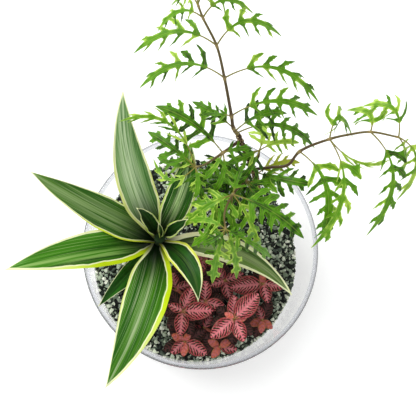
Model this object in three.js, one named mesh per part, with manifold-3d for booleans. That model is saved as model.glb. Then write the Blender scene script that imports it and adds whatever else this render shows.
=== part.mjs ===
// Round glass terrarium with a dracaena, a cut-leaf shrub and pink nerve plants in gravel.
// Millimetres, +Z up. The origin is the middle of the bowl's flat underside.
import * as THREE from "three";
import { mergeVertices } from "three/addons/utils/BufferGeometryUtils.js";
import Module from "manifold-3d";

const wasm = await Module();
wasm.setup();

// Driving dimensions
const GAP = 0.3;
const SLIVER = 0.02;
const WELD = 1e-4;
const BOWL = { radius: 100, height: 150, wall: 4, base: 8, corner: 9, lip: 1.6, sides: 48 };
const DRAINAGE_TOP = 24;
const SOIL_TOP = 58;
const GRAVEL_TOP = 70;
const GRAVEL = { rings: 13, least: 0.6, peak: 2.6, valley: 1.8, shift: 0.28, seed: 41 };
const LAYER_SIDES = 36;
const HOLES_REACH = GRAVEL_TOP + 10;
const CANE = { x: -35, y: 12, bottom: 40, top: 132, radius: 6.5, tipRadius: 4.6, sides: 10, steps: 3 };
const STRAP = {
  thickness: 0.8,
  steps: 8,
  waves: 2.5,
  waveHeight: 1.1,
  footShare: 0.28,
  opensFrom: -0.06,
  opensTo: 0.3,
  widestAt: 0.42,
  taper: 1.45,
  channel: 0.42,
};
const TRUNK = { bottom: 40, radius: 3.8, topRadius: 2, sides: 8, steps: 8, hole: 4.4, holeSides: 10 };
const STEM = { radius: 1.7, tipRadius: 0.9, sides: 6, leafSeeds: 100 };
const LOW_LEAF_SEED = 900;

// A cut leaf over 66 mm long has 5 pairs of lobes, one over 34 mm has 4, and a shorter one 3.
const CUT_LEAF = {
  pairsOver: [[66, 5], [34, 4], [0, 3]],
  hang: [12, 12],
  thickness: 0.7,
  rib: 1.1,
  petiole: 1.5,
  petioleShare: 0.2,
  stalkShare: 0.7,
  lobedTo: 0.95,
  lobeShare: 0.5,
  fullReach: 1.1,
  firstPair: 0.6,
  longestPair: 1.6,
  lobeLeast: 0.8,
  lobeSpread: 0.4,
  wing: 0.4,
  wingShare: 0.13,
  wingBefore: 0.7,
  wingPast: 0.8,
  shoulder: { along: 0.4, reach: 0.75 },
  point: { along: 0.95, spread: 0.3 },
};
const NERVE = {
  bottom: 50,
  stem: 1.2,
  sides: 6,
  thickness: 0.7,
  widthShare: 0.54,
  rows: [0.1, 0.42, 0.74],
  fullness: 0.85,
  footEnds: 0.2,
  foot: 0.7,
  rootDrop: 1,
  tier: 2.5,
  tipRise: 1.4,
  archShare: 0.13,
  dome: 0.2,
};

const INNER_RADIUS = BOWL.radius - BOWL.wall;
const UP = new THREE.Vector3(0, 0, 1);

// Dracaena leaves: height of the root on the cane, tip, how far the middle of the midrib stands
// above the straight line (arch) and to the right of it (sweep), and the blade's full width.
const STRAP_LEAVES = {
  north: { root: 117, tip: [-65, 114, 225], arch: 6, sweep: -9, width: 30 },
  west_high: { root: 113, tip: [-138, 56, 195], arch: 10, sweep: -3, width: 28 },
  west: { root: 104, tip: [-158, -20, 178], arch: 22, sweep: 1, width: 31 },
  south: { root: 108, tip: [-79, -114, 152], arch: 26, sweep: -7, width: 37 },
  southwest: { root: 90, tip: [-85, -48, 162], arch: 6, sweep: 0, width: 17 },
  southeast: { root: 127, tip: [-3, -44, 148], arch: 14, sweep: -8, width: 21 },
  northeast: { root: 124, tip: [-11, 85, 182], arch: 10, sweep: 6, width: 25 },
  east: { root: 97, tip: [85, -36, 100], arch: 30, sweep: -13, width: 23 },
  young_west: { root: 129, tip: [-54, 28, 190], arch: 2, sweep: 2, width: 13 },
  young_east: { root: 130, tip: [-13, 21, 178], arch: 4, sweep: 0, width: 11 },
};
const SPEAR = { tip: [-37, 17, 186], arch: 0, sweep: 1, width: 7 };

// Shrub: the trunk's route, and each stem's route with the leaves that grow at its joints. A
// leaf has the same arch and sweep, the reach of its longest lobe (size) and how far its left and
// right halves hang down from the rib (hang, in degrees).
const TRUNK_ROUTE = [
  [60, 57, TRUNK.bottom],
  [60, 57, 62],
  [60, 57, 78],
  [55, 63, 98],
  [47, 70, 140],
  [35, 81, 172],
  [27, 88, 195],
];
const STEMS = {
  tall: {
    route: [
      [26.85, 88.1, 195.5],
      [22, 90, 208],
      [19, 96, 222],
      [10, 113, 262],
      [2, 127, 290],
      [-9, 138, 312],
      [-13, 143, 322],
    ],
    leaves: [
      { root: [26, 88.5, 199], tip: [93, 82, 178], arch: 14, sweep: -9, size: 13, hang: [5, 40] },
      { root: [24, 89, 203], tip: [66, 104, 203], arch: 8, sweep: -4, size: 12, hang: [5, 40] },
      { root: [22, 90, 208], tip: [-11, 110, 212], arch: 6, sweep: 0, size: 9, hang: [30, 10] },
      { root: [19, 96, 222], tip: [89, 100, 212], arch: 10, sweep: -9, size: 15, hang: [5, 50] },
      { root: [19, 96, 222], tip: [-4, 99, 214], arch: 3, sweep: 0, size: 5 },
      { root: [10, 113, 262], tip: [85, 102, 238], arch: 8, sweep: -15, size: 11, hang: [5, 65] },
      { root: [10, 113, 262], tip: [-52, 112, 238], arch: 8, sweep: 12, size: 13, hang: [65, 5] },
      { root: [2, 127, 290], tip: [-56, 129, 266], arch: 6, sweep: 11, size: 12, hang: [60, 5] },
      { root: [2, 127, 290], tip: [51, 142, 272], arch: 8, sweep: -12, size: 12, hang: [5, 60] },
      { root: [-9, 138, 312], tip: [-39, 136, 292], arch: 6, sweep: 7, size: 9, hang: [55, 10] },
      { root: [-9, 138, 312], tip: [27, 149, 296], arch: 6, sweep: -9, size: 9, hang: [10, 55] },
      { root: [-13, 143, 321], tip: [-30, 149, 306], arch: 5, sweep: 5, size: 6, hang: [40, 20] },
      { root: [-13, 143, 321], tip: [4, 157, 312], arch: 4, sweep: -4, size: 6, hang: [20, 40] },
      { root: [-13, 143, 321], tip: [-18, 160, 332], arch: 2, sweep: 1, size: 5 },
    ],
  },
  left: {
    trunkHeight: 187,
    route: [
      [15, 74, 190],
      [-1, 64, 188],
      [-7, 63, 186],
    ],
    leaves: [
      { root: [15, 74, 190], tip: [-40, 108, 205], arch: 8, sweep: 4, size: 15 },
      { root: [15, 74, 190], tip: [8, 44, 170], arch: 5, sweep: -4, size: 9 },
      { root: [-7, 63, 186], tip: [-46, 92, 186], arch: 7, sweep: 0, size: 12 },
      { root: [-7, 63, 186], tip: [-68, 90, 222], arch: 10, sweep: 17, size: 7, hang: [50, 20] },
      { root: [-7, 63, 186], tip: [-38, 77, 160], arch: 2, sweep: -3, size: 8 },
      { root: [-7, 63, 186], tip: [-41, 71, 178], arch: 3, sweep: -15, size: 6, hang: [20, 40] },
    ],
  },
  right: {
    trunkHeight: 143,
    route: [
      [59, 69, 160],
      [71, 68, 175],
      [79, 77, 185],
      [100, 83, 204],
      [113, 84, 215],
      [128, 84, 224],
      [149, 79, 228],
    ],
    leaves: [
      { root: [79, 77, 185], tip: [98, 5, 166], arch: 14, sweep: -12, size: 15, hang: [5, 35] },
      { root: [100, 83, 204], tip: [122, 88, 192], arch: 8, sweep: -15, size: 14, hang: [0, 60] },
      { root: [100, 83, 204], tip: [90, -1, 167], arch: 13, sweep: -16, size: 13, hang: [5, 70] },
      { root: [100, 83, 204], tip: [156, 72, 180], arch: 4, sweep: 12, size: 5, hang: [65, 65] },
      { root: [128, 84, 224], tip: [114, 106, 208], arch: 6, sweep: 8, size: 12 },
      { root: [128, 84, 224], tip: [138, 10, 165], arch: 12, sweep: -17, size: 12, hang: [10, 60] },
      { root: [149, 79, 228], tip: [122, 104, 226], arch: 11, sweep: 10, size: 14, hang: [50, 5] },
      { root: [149, 79, 228], tip: [161, 38, 178], arch: 10, sweep: -13, size: 11, hang: [20, 60] },
      { root: [149, 79, 228], tip: [165, 60, 186], arch: 6, sweep: -2, size: 8, hang: [10, 50] },
    ],
  },
  front: {
    trunkHeight: 149,
    route: [
      [37, 57, 160],
      [24, 42, 178],
      [16, 24, 188],
      [17, 12, 186],
    ],
    leaves: [
      { root: [24, 42, 178], tip: [-15, 18, 162], arch: 8, sweep: 2, size: 14 },
      { root: [24, 42, 178], tip: [84, 7, 168], arch: 10, sweep: -3, size: 16 },
      { root: [24, 42, 178], tip: [49, -3, 150], arch: 10, sweep: -2, size: 8, hang: [25, 25] },
      { root: [17, 12, 186], tip: [-9, 1, 160], arch: 6, sweep: 2, size: 10 },
      { root: [17, 12, 186], tip: [10, -28, 136], arch: 6, sweep: 2, size: 11, hang: [25, 25] },
      { root: [17, 12, 186], tip: [31, -24, 134], arch: 6, sweep: -2, size: 9, hang: [25, 25] },
      { root: [17, 12, 186], tip: [60, -7, 146], arch: 10, sweep: 0, size: 9, hang: [25, 25] },
    ],
  },
  middle: {
    trunkHeight: 155,
    route: [
      [47, 76, 165],
      [47, 80, 175],
    ],
    leaves: [
      { root: [47, 80, 175], tip: [82, 88, 170], arch: 4, sweep: -3, size: 9, hang: [20, 30] },
      { root: [47, 80, 175], tip: [16, 64, 164], arch: 6, sweep: 2, size: 10 },
    ],
  },
};
const LOW_LEAVES = {
  east: { trunkHeight: 138, tip: [92, 53, 168], arch: 13, sweep: 4, size: 14 },
  old: { trunkHeight: 132, tip: [84, 73, 160], arch: 14, sweep: -2, size: 8, hang: [18, 30] },
  west: { trunkHeight: 138, tip: [4, 46, 150], arch: 8, sweep: 0, size: 12 },
  front: { trunkHeight: 131, tip: [35, 34, 136], arch: 6, sweep: 0, size: 11 },
};

// Nerve plants: place of the rosette's middle, and each leaf's direction in degrees and length.
const NERVE_SPRIGS = [
  { at: [-14, -50, 98], leaves: [[67, 23], [0, 27], [264, 22], [156, 14], [331, 15]] },
  { at: [32, -57, 101], leaves: [[90, 21], [45, 31], [293, 22], [218, 27], [0, 11], [150, 10]] },
  { at: [-12, -77, 91], leaves: [[150, 13], [221, 16], [330, 23], [265, 13], [60, 10]] },
  { at: [20, -82, 88], leaves: [[150, 12], [33, 12], [350, 16], [232, 12]] },
  { at: [60, -25, 90], leaves: [[187, 30], [349, 19], [90, 11], [283, 18]] },
  { at: [7, -41, 91], leaves: [[90, 19], [340, 19], [200, 14], [280, 13]] },
  { at: [25, -22, 88], leaves: [[285, 18], [20, 18], [120, 16], [200, 14]] },
  { at: [6, -3, 86], leaves: [[345, 14], [150, 16], [60, 16], [250, 15]] },
  { at: [-20, -30, 88], leaves: [[100, 16], [20, 15], [215, 17], [300, 13]] },
  { at: [6, -65, 84], leaves: [[195, 15], [60, 14], [310, 12]] },
  { at: [60, -58, 83], leaves: [[200, 13], [110, 14], [320, 12], [260, 12]] },
];

// A repeatable random number between 0 and 1
function seededRandom(seed) {
  let state = seed;
  return () => {
    state = (state * 1664525 + 1013904223) % 4294967296;
    return state / 4294967296;
  };
}

function vector(p) {
  return new THREE.Vector3(p[0], p[1], p[2]);
}

// Solids
function solidOf(geometry) {
  const bare = new THREE.BufferGeometry();
  bare.setAttribute("position", geometry.getAttribute("position"));
  bare.setIndex(geometry.index);
  const merged = mergeVertices(bare, WELD);
  return new wasm.Manifold(
    new wasm.Mesh({
      numProp: 3,
      vertProperties: merged.attributes.position.array,
      triVerts: new Uint32Array(merged.index.array),
    }),
  );
}

function solidFromFaces(points, faces) {
  const geometry = new THREE.BufferGeometry();
  const places = points.flatMap((p) => [p.x, p.y, p.z]);
  geometry.setAttribute("position", new THREE.Float32BufferAttribute(places, 3));
  geometry.setIndex(faces.flat());
  return solidOf(geometry);
}

// The solid's surface, without the slivers that joins and cuts leave
function geometryOf(solid) {
  const made = solid.asOriginal().simplify(SLIVER).getMesh();
  const geometry = new THREE.BufferGeometry();
  geometry.setAttribute("position", new THREE.BufferAttribute(made.vertProperties, 3));
  geometry.setIndex(new THREE.BufferAttribute(made.triVerts, 1));
  geometry.computeVertexNormals();
  return geometry;
}

// A body turned about the Z axis; the profile runs from the axis out and back, counter-clockwise.
function turned(profile, sides) {
  const lathe = new THREE.LatheGeometry(profile.map(([r, z]) => new THREE.Vector2(r, z)), sides);
  lathe.rotateX(Math.PI / 2);
  return solidOf(lathe);
}

function cylinder(x, y, bottom, top, radius, sides) {
  const shape = new THREE.CylinderGeometry(radius, radius, top - bottom, sides);
  shape.rotateX(Math.PI / 2);
  shape.translate(x, y, (top + bottom) / 2);
  return solidOf(shape);
}

// A tube along a smooth route that narrows evenly from its first radius to its last
function tube(route, firstRadius, lastRadius, sides, steps) {
  const curve = new THREE.CatmullRomCurve3(route.map(vector));
  const frames = curve.computeFrenetFrames(steps);
  const points = [];
  const faces = [];
  for (let i = 0; i <= steps; i++) {
    const middle = curve.getPointAt(i / steps);
    const radius = THREE.MathUtils.lerp(firstRadius, lastRadius, i / steps);
    for (let k = 0; k < sides; k++) {
      const turn = (2 * Math.PI * k) / sides;
      points.push(
        middle
          .clone()
          .addScaledVector(frames.normals[i], radius * Math.cos(turn))
          .addScaledVector(frames.binormals[i], radius * Math.sin(turn)),
      );
    }
  }
  for (let i = 0; i < steps; i++) {
    for (let k = 0; k < sides; k++) {
      const a = i * sides + k;
      const b = i * sides + ((k + 1) % sides);
      faces.push([a, b, b + sides], [a, b + sides, a + sides]);
    }
  }
  const last = steps * sides;
  for (let k = 1; k < sides - 1; k++) {
    faces.push([0, k + 1, k], [last, last + k, last + k + 1]);
  }
  return solidFromFaces(points, faces);
}

// Leaves
// The midrib runs from base to tip. At a share s of it: the place, and the directions along the
// leaf, to its right and up out of its face.
function midrib({ base, tip, arch, sweep }) {
  const start = vector(base);
  const end = vector(tip);
  const right = new THREE.Vector3(end.y - start.y, start.x - end.x, 0).normalize();
  const pull = start.clone().add(end).multiplyScalar(0.5);
  pull.addScaledVector(right, 2 * sweep).addScaledVector(UP, 2 * arch);
  const curve = new THREE.QuadraticBezierCurve3(start, pull, end);
  return (s) => {
    const place = curve.getPoint(s);
    const along = curve.getTangent(s);
    const side = right.clone().addScaledVector(along, -right.dot(along)).normalize();
    const out = side.clone().cross(along);
    return { place, side, out };
  };
}

// A thin body on a flat pattern: spots are [share along, mm to the right, mm up, thickness],
// and faces join them in threes. Both sides get the same triangles.
function blade(rib, { spots, faces }) {
  const points = [];
  for (const half of [0.5, -0.5]) {
    for (const [s, right, up, thickness] of spots) {
      const { place, side, out } = rib(s);
      points.push(place.addScaledVector(side, right).addScaledVector(out, up + half * thickness));
    }
  }
  const under = spots.length;
  const solidFaces = [];
  const edges = new Map();
  for (const face of faces) {
    const [a, b, c] = face.map((i) => spots[i]);
    const facesUp = (b[1] - a[1]) * (c[0] - a[0]) - (c[1] - a[1]) * (b[0] - a[0]) > 0;
    const upper = facesUp ? face : [face[0], face[2], face[1]];
    solidFaces.push(upper, upper.map((i) => i + under).reverse());
    upper.forEach((from, i) => edges.set(from + "," + upper[(i + 1) % 3], [from, upper[(i + 1) % 3]]));
  }
  for (const [from, to] of edges.values()) {
    if (!edges.has(to + "," + from)) {
      solidFaces.push([to, from, from + under], [to, from + under, to + under]);
    }
  }
  return solidFromFaces(points, solidFaces);
}

// Strap leaf: narrow where it clasps the cane, widest before the middle, long pointed tip,
// channelled along the midrib and waved along both margins.
function strapPattern(width, wavePhase) {
  const columns = [-1, -0.5, 0, 0.5, 1];
  const spots = [];
  const faces = [];
  for (let i = 0; i < STRAP.steps; i++) {
    const s = i / STRAP.steps;
    const opening = THREE.MathUtils.smoothstep(s, STRAP.opensFrom, STRAP.opensTo);
    const pastWidest = Math.max(0, (s - STRAP.widestAt) / (1 - STRAP.widestAt));
    const closing = 1 - Math.pow(pastWidest, STRAP.taper);
    const half = (width / 2) * THREE.MathUtils.lerp(STRAP.footShare, 1, opening) * closing;
    const channel = STRAP.channel * (1 - s) * (1 - s);
    const wave = STRAP.waveHeight * Math.sin(2 * Math.PI * STRAP.waves * s + wavePhase) * opening;
    for (const column of columns) {
      const rise = channel * Math.abs(column) * half + wave * column * column * Math.sign(column);
      spots.push([s, column * half, rise, STRAP.thickness]);
    }
  }
  const tip = spots.push([1, 0, 0, STRAP.thickness]) - 1;
  for (let i = 0; i < STRAP.steps; i++) {
    for (let k = 0; k < columns.length - 1; k++) {
      const a = i * columns.length + k;
      const b = a + columns.length;
      if (i === STRAP.steps - 1) faces.push([a, a + 1, tip]);
      else faces.push([a, a + 1, b + 1], [a, b + 1, b]);
    }
  }
  return { spots, faces };
}

// Cut leaf: a slim petiole, then pairs of long lobes that point forward, cut to the rib. Each
// half hangs from the rib by its own angle, [left, right] in degrees.
function cutLeafPattern({ size, pairs, hang = CUT_LEAF.hang }, random) {
  const { thickness, rib, petiole, petioleShare, shoulder, point } = CUT_LEAF;
  const spots = [];
  const faces = [];
  const addSpot = (s, side, reach, thick) => {
    const angle = THREE.MathUtils.degToRad(hang[side > 0 ? 1 : 0]);
    return spots.push([s, side * reach * Math.cos(angle), -reach * Math.sin(angle), thick]) - 1;
  };
  const rows = [];
  const addRow = (s, half, thick) => {
    spots.push([s, -half, 0, thick], [s, half, 0, thick]);
    const row = spots.length - 2;
    if (rows.length) {
      const last = rows[rows.length - 1];
      faces.push([last, last + 1, row + 1], [last, row + 1, row]);
    }
    rows.push(row);
    return row;
  };
  addRow(0, petiole / 2, petiole);
  addRow(petioleShare * CUT_LEAF.stalkShare, petiole / 2, petiole);
  const step = (CUT_LEAF.lobedTo - petioleShare) / pairs;
  for (let i = 0; i < pairs; i++) {
    const s = petioleShare + i * step;
    const fullness = Math.sin((Math.PI * (i + CUT_LEAF.wingBefore)) / (pairs + CUT_LEAF.wingPast));
    const wing = CUT_LEAF.wing + CUT_LEAF.wingShare * size * fullness;
    const heel = addRow(s, wing, rib);
    const toe = addRow(s + CUT_LEAF.lobeShare * step, wing, rib);
    const fromFoot = (i + CUT_LEAF.firstPair) / CUT_LEAF.longestPair;
    const reach = CUT_LEAF.fullReach * size * fromFoot * Math.exp(1 - fromFoot);
    for (const side of [-1, 1]) {
      const lobe = reach * (CUT_LEAF.lobeLeast + CUT_LEAF.lobeSpread * random());
      const corner = side > 0 ? 1 : 0;
      const bend = addSpot(s + shoulder.along * step, side, shoulder.reach * lobe, thickness);
      const forward = point.along + point.spread * random();
      const end = addSpot(s + forward * step, side, lobe, thickness);
      faces.push([heel + corner, bend, toe + corner], [bend, end, toe + corner]);
    }
  }
  const last = rows[rows.length - 1];
  faces.push([last, last + 1, spots.push([1, 0, 0, thickness]) - 1]);
  return { spots, faces };
}

// Nerve plant leaf: a small pointed oval, domed along the midrib.
function ovalPattern(width) {
  const shares = NERVE.rows;
  const spots = [];
  const faces = [];
  for (const s of shares) {
    const oval = (width / 2) * Math.sin(Math.PI * Math.pow(s, NERVE.fullness));
    const half = s < NERVE.footEnds ? NERVE.foot : oval;
    const drop = -NERVE.dome * half;
    spots.push([s, -half, drop, NERVE.thickness], [s, 0, 0, NERVE.thickness]);
    spots.push([s, half, drop, NERVE.thickness]);
  }
  for (let i = 0; i < shares.length - 1; i++) {
    for (const a of [3 * i, 3 * i + 1]) {
      faces.push([a, a + 1, a + 4], [a, a + 4, a + 3]);
    }
  }
  const foot = spots.push([0, 0, 0, NERVE.thickness]) - 1;
  const tip = spots.push([1, 0, 0, NERVE.thickness]) - 1;
  const end = 3 * (shares.length - 1);
  faces.push([0, 1, foot], [1, 2, foot], [end, end + 1, tip], [end + 1, end + 2, tip]);
  return { spots, faces };
}

// Bowl: outer body less the inside, with a rounded rim and rounded corners
function corner(middleR, middleZ, radius, fromDegrees, toDegrees, steps) {
  return Array.from({ length: steps + 1 }, (_, i) => {
    const turn = THREE.MathUtils.degToRad(fromDegrees + ((toDegrees - fromDegrees) * i) / steps);
    return [middleR + radius * Math.cos(turn), middleZ + radius * Math.sin(turn)];
  });
}

function makeBowl() {
  const { radius, height, corner: bend, lip, base } = BOWL;
  const outside = turned(
    [
      [0, 0],
      ...corner(radius - bend, bend, bend, -90, 0, 3),
      ...corner(radius - lip, height - lip, lip, 0, 90, 2),
      [0, height],
    ],
    BOWL.sides,
  );
  const innerBend = bend - BOWL.wall;
  const inside = turned(
    [
      [0, base],
      ...corner(INNER_RADIUS - innerBend, base + innerBend, innerBend, -90, 0, 2),
      [INNER_RADIUS, height - lip],
      [INNER_RADIUS + lip, height + 1],
      [0, height + 1],
    ],
    BOWL.sides,
  );
  return outside.subtract(inside);
}

// A filled layer: its lowest edge follows the bowl's inner corner
function makeDrainage() {
  const bend = BOWL.corner - BOWL.wall;
  const low = BOWL.base + GAP;
  const reach = INNER_RADIUS - GAP;
  const bed = corner(reach - bend, low + bend, bend, -90, 0, 2);
  return turned([[0, low], ...bed, [reach, DRAINAGE_TOP - GAP], [0, DRAINAGE_TOP - GAP]], LAYER_SIDES);
}

// Crushed gravel: a bed of six-sided rings of points, drawn out to a disc, where every third
// point is a stone's peak.
function gravelPoints(index) {
  const { rings, least, peak, valley, shift } = GRAVEL;
  const reach = INNER_RADIUS - GAP;
  const random = seededRandom(GRAVEL.seed);
  const points = [];
  for (let q = -rings; q <= rings; q++) {
    for (let r = -rings; r <= rings; r++) {
      const ring = Math.max(Math.abs(q), Math.abs(r), Math.abs(q + r));
      if (ring > rings) continue;
      const edge = ring === rings;
      const flat = new THREE.Vector2(q + r / 2, (r * Math.sqrt(3)) / 2);
      flat.setLength((reach * ring) / rings);
      if (!edge) {
        const spread = (2 * shift * reach) / rings;
        flat.add(new THREE.Vector2(random() - 0.5, random() - 0.5).multiplyScalar(spread));
      }
      const isPeak = (q - r + 3 * rings) % 3 === 0;
      const stone = isPeak ? least + peak * random() : -valley * random();
      index.set(q + "," + r, points.length);
      points.push(new THREE.Vector3(flat.x, flat.y, GRAVEL_TOP + (edge ? 0 : stone)));
    }
  }
  return points;
}

function gravelRim(index) {
  const rim = [];
  const walk = [[-1, 1], [-1, 0], [0, -1], [1, -1], [1, 0], [0, 1]];
  let spot = [GRAVEL.rings, 0];
  for (const [dq, dr] of walk) {
    for (let i = 0; i < GRAVEL.rings; i++) {
      rim.push(index.get(spot.join(",")));
      spot = [spot[0] + dq, spot[1] + dr];
    }
  }
  return rim;
}

function makeGravelBed() {
  const index = new Map();
  const points = gravelPoints(index);
  const faces = [];
  for (const [key, here] of index) {
    const [q, r] = key.split(",").map(Number);
    const next = index.get(q + 1 + "," + r);
    const above = index.get(q + "," + (r + 1));
    const below = index.get(q + 1 + "," + (r - 1));
    if (next !== undefined && above !== undefined) faces.push([here, next, above]);
    if (next !== undefined && below !== undefined) faces.push([here, below, next]);
  }
  const rim = gravelRim(index);
  const low = rim.map((i) => points.push(points[i].clone().setZ(SOIL_TOP + GAP)) - 1);
  const middle = points.push(new THREE.Vector3(0, 0, SOIL_TOP + GAP)) - 1;
  rim.forEach((top, i) => {
    const next = (i + 1) % rim.length;
    faces.push([top, low[i], low[next]], [top, low[next], rim[next]], [middle, low[next], low[i]]);
  });
  return solidFromFaces(points, faces);
}

// Stems stand in plain holes: x, y, how deep and how wide
function stemHoles() {
  const [trunkX, trunkY] = TRUNK_ROUTE[0];
  const holes = [
    { x: CANE.x, y: CANE.y, bottom: CANE.bottom, radius: CANE.radius, sides: CANE.sides },
    { x: trunkX, y: trunkY, bottom: TRUNK.bottom, radius: TRUNK.hole, sides: TRUNK.holeSides },
  ];
  for (const { at } of NERVE_SPRIGS) {
    holes.push({ x: at[0], y: at[1], bottom: NERVE.bottom, radius: NERVE.stem, sides: NERVE.sides });
  }
  return holes.map(({ x, y, bottom, radius, sides }) => {
    const clear = (radius + GAP) / Math.cos(Math.PI / sides);
    return cylinder(x, y, bottom - GAP, HOLES_REACH, clear, sides);
  });
}

// The largest body of a solid, without the scraps that a cut leaves
function largest(solid) {
  return solid.decompose().reduce((best, body) => (body.volume() > best.volume() ? body : best));
}

function withHoles(layer, holes) {
  return holes.reduce((solid, hole) => solid.subtract(hole), layer);
}

// Shrub
const trunkCurve = new THREE.CatmullRomCurve3(TRUNK_ROUTE.map(vector));

function trunkAt(height) {
  let low = 0;
  let high = 1;
  for (let i = 0; i < 30; i++) {
    const middle = (low + high) / 2;
    if (trunkCurve.getPoint(middle).z < height) low = middle;
    else high = middle;
  }
  return trunkCurve.getPoint(low).toArray();
}

function cutLeaf(leaf, seed) {
  const rib = midrib(leaf);
  const length = vector(leaf.base).distanceTo(vector(leaf.tip));
  const [, pairs] = CUT_LEAF.pairsOver.find(([over]) => length > over);
  return blade(rib, cutLeafPattern({ ...leaf, pairs }, seededRandom(seed)));
}

function leafyStem(stem, seed, grownTrunk) {
  const route = stem.trunkHeight ? [trunkAt(stem.trunkHeight), ...stem.route] : stem.route;
  const wood = tube(route, STEM.radius, STEM.tipRadius, STEM.sides, route.length + 1);
  const leaves = stem.leaves.map((leaf, i) => cutLeaf({ ...leaf, base: leaf.root }, seed + i));
  const solid = wasm.Manifold.union([...leaves, wood]);
  return stem.trunkHeight ? largest(solid.subtract(grownTrunk)) : solid;
}

function nerveSprig({ at, leaves }) {
  const [x, y, z] = at;
  let solid = cylinder(x, y, NERVE.bottom, z + NERVE.tier, NERVE.stem, NERVE.sides);
  leaves.forEach(([degrees, length], i) => {
    const turn = THREE.MathUtils.degToRad(degrees);
    const lift = (i % 2) * NERVE.tier;
    const tip = [
      x + length * Math.cos(turn), y + length * Math.sin(turn), z + NERVE.tipRise * lift,
    ];
    const base = [x, y, z - NERVE.rootDrop + lift];
    const rib = midrib({ base, tip, arch: NERVE.archShare * length, sweep: 0 });
    solid = solid.add(blade(rib, ovalPattern(length * NERVE.widthShare)));
  });
  return solid;
}

// Assembly
const FINISHES = {
  glass: { color: 0xeef5f4, roughness: 0.05, metalness: 0, transparent: true, opacity: 0.35 },
  drainage: { color: 0x777b7c, roughness: 0.95, metalness: 0 },
  soil: { color: 0x33261c, roughness: 1, metalness: 0 },
  gravel: { color: 0x5d6466, roughness: 0.9, metalness: 0 },
  cane: { color: 0x8c7a58, roughness: 0.85, metalness: 0 },
  strap: { color: 0x2f5a2c, roughness: 0.4, metalness: 0 },
  bark: { color: 0x5b4433, roughness: 0.95, metalness: 0 },
  shrub: { color: 0x4f9a2c, roughness: 0.5, metalness: 0 },
  oldLeaf: { color: 0xb2b53a, roughness: 0.6, metalness: 0 },
  nerve: { color: 0xc4546b, roughness: 0.55, metalness: 0 },
};

const terrarium = new THREE.Group();

function place(name, solid, finish) {
  const mesh = new THREE.Mesh(geometryOf(solid), new THREE.MeshStandardMaterial(FINISHES[finish]));
  mesh.name = name;
  terrarium.add(mesh);
}

const holes = stemHoles();
place("glass_bowl", makeBowl(), "glass");
place("drainage_gravel", makeDrainage(), "drainage");
const soilBlock = cylinder(0, 0, DRAINAGE_TOP, SOIL_TOP, INNER_RADIUS - GAP, LAYER_SIDES);
place("potting_soil", withHoles(soilBlock, holes), "soil");
place("top_gravel", withHoles(makeGravelBed(), holes), "gravel");

const caneRoute = [
  [CANE.x, CANE.y, CANE.bottom],
  [CANE.x, CANE.y, CANE.top],
];
place("dracaena_cane", tube(caneRoute, CANE.radius, CANE.tipRadius, CANE.sides, CANE.steps), "cane");
const grownCane = tube(caneRoute, CANE.radius + GAP, CANE.tipRadius + GAP, CANE.sides, CANE.steps);
Object.entries(STRAP_LEAVES).forEach(([name, leaf], i) => {
  const way = Math.atan2(leaf.tip[1] - CANE.y, leaf.tip[0] - CANE.x);
  const root = [
    CANE.x + CANE.tipRadius * Math.cos(way), CANE.y + CANE.tipRadius * Math.sin(way), leaf.root,
  ];
  const solid = blade(midrib({ ...leaf, base: root }), strapPattern(leaf.width, 1.3 * i));
  place("dracaena_leaf_" + name, largest(solid.subtract(grownCane)), "strap");
});
const spearRib = midrib({ ...SPEAR, base: [CANE.x, CANE.y, CANE.top + 1.4 * GAP] });
place("dracaena_leaf_spear", blade(spearRib, strapPattern(SPEAR.width, 0)), "strap");

const trunkOf = (gap) =>
  tube(TRUNK_ROUTE, TRUNK.radius + gap, TRUNK.topRadius + gap, TRUNK.sides, TRUNK.steps);
place("shrub_trunk", trunkOf(0), "bark");
const grownTrunk = trunkOf(GAP);
Object.entries(STEMS).forEach(([name, stem], i) => {
  place("shrub_stem_" + name, leafyStem(stem, STEM.leafSeeds * (i + 1), grownTrunk), "shrub");
});
Object.entries(LOW_LEAVES).forEach(([name, leaf], i) => {
  const solid = cutLeaf({ ...leaf, base: trunkAt(leaf.trunkHeight) }, LOW_LEAF_SEED + i);
  const finish = name === "old" ? "oldLeaf" : "shrub";
  place("shrub_leaf_low_" + name, largest(solid.subtract(grownTrunk)), finish);
});

NERVE_SPRIGS.forEach((sprig, i) => {
  place("nerve_sprig_" + (i + 1), nerveSprig(sprig), "nerve");
});

export default terrarium;
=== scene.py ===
"""Looks of a round glass terrarium with a dracaena, a cut-leaf shrub and nerve plants in gravel.

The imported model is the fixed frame. Each piece here stands for one of its nodes and keeps that
node's place and form. Lengths are metres, +Z is up, and the origin is the middle of the bowl's
flat underside.
"""

import logging
import math
from collections.abc import Callable, Sequence
from dataclasses import asdict, dataclass, field
from enum import Enum
from functools import cache
from typing import Any

import bpy
import numpy as np
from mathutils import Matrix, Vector

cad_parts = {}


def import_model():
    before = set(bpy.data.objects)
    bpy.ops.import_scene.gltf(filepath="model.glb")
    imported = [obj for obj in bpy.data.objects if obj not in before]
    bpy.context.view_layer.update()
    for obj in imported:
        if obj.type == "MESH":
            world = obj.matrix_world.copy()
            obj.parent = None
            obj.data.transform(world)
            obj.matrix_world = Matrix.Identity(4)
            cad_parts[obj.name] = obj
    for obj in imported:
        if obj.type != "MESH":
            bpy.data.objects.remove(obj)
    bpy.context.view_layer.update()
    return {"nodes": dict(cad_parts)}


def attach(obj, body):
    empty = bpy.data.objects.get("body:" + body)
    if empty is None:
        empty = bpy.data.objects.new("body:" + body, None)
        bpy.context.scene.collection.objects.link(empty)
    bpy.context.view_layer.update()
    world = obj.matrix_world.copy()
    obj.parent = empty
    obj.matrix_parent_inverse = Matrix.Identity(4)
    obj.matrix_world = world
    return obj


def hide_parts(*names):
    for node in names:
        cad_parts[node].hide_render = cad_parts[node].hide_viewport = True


LOG = logging.getLogger("terrarium")
MM = 0.001
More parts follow.
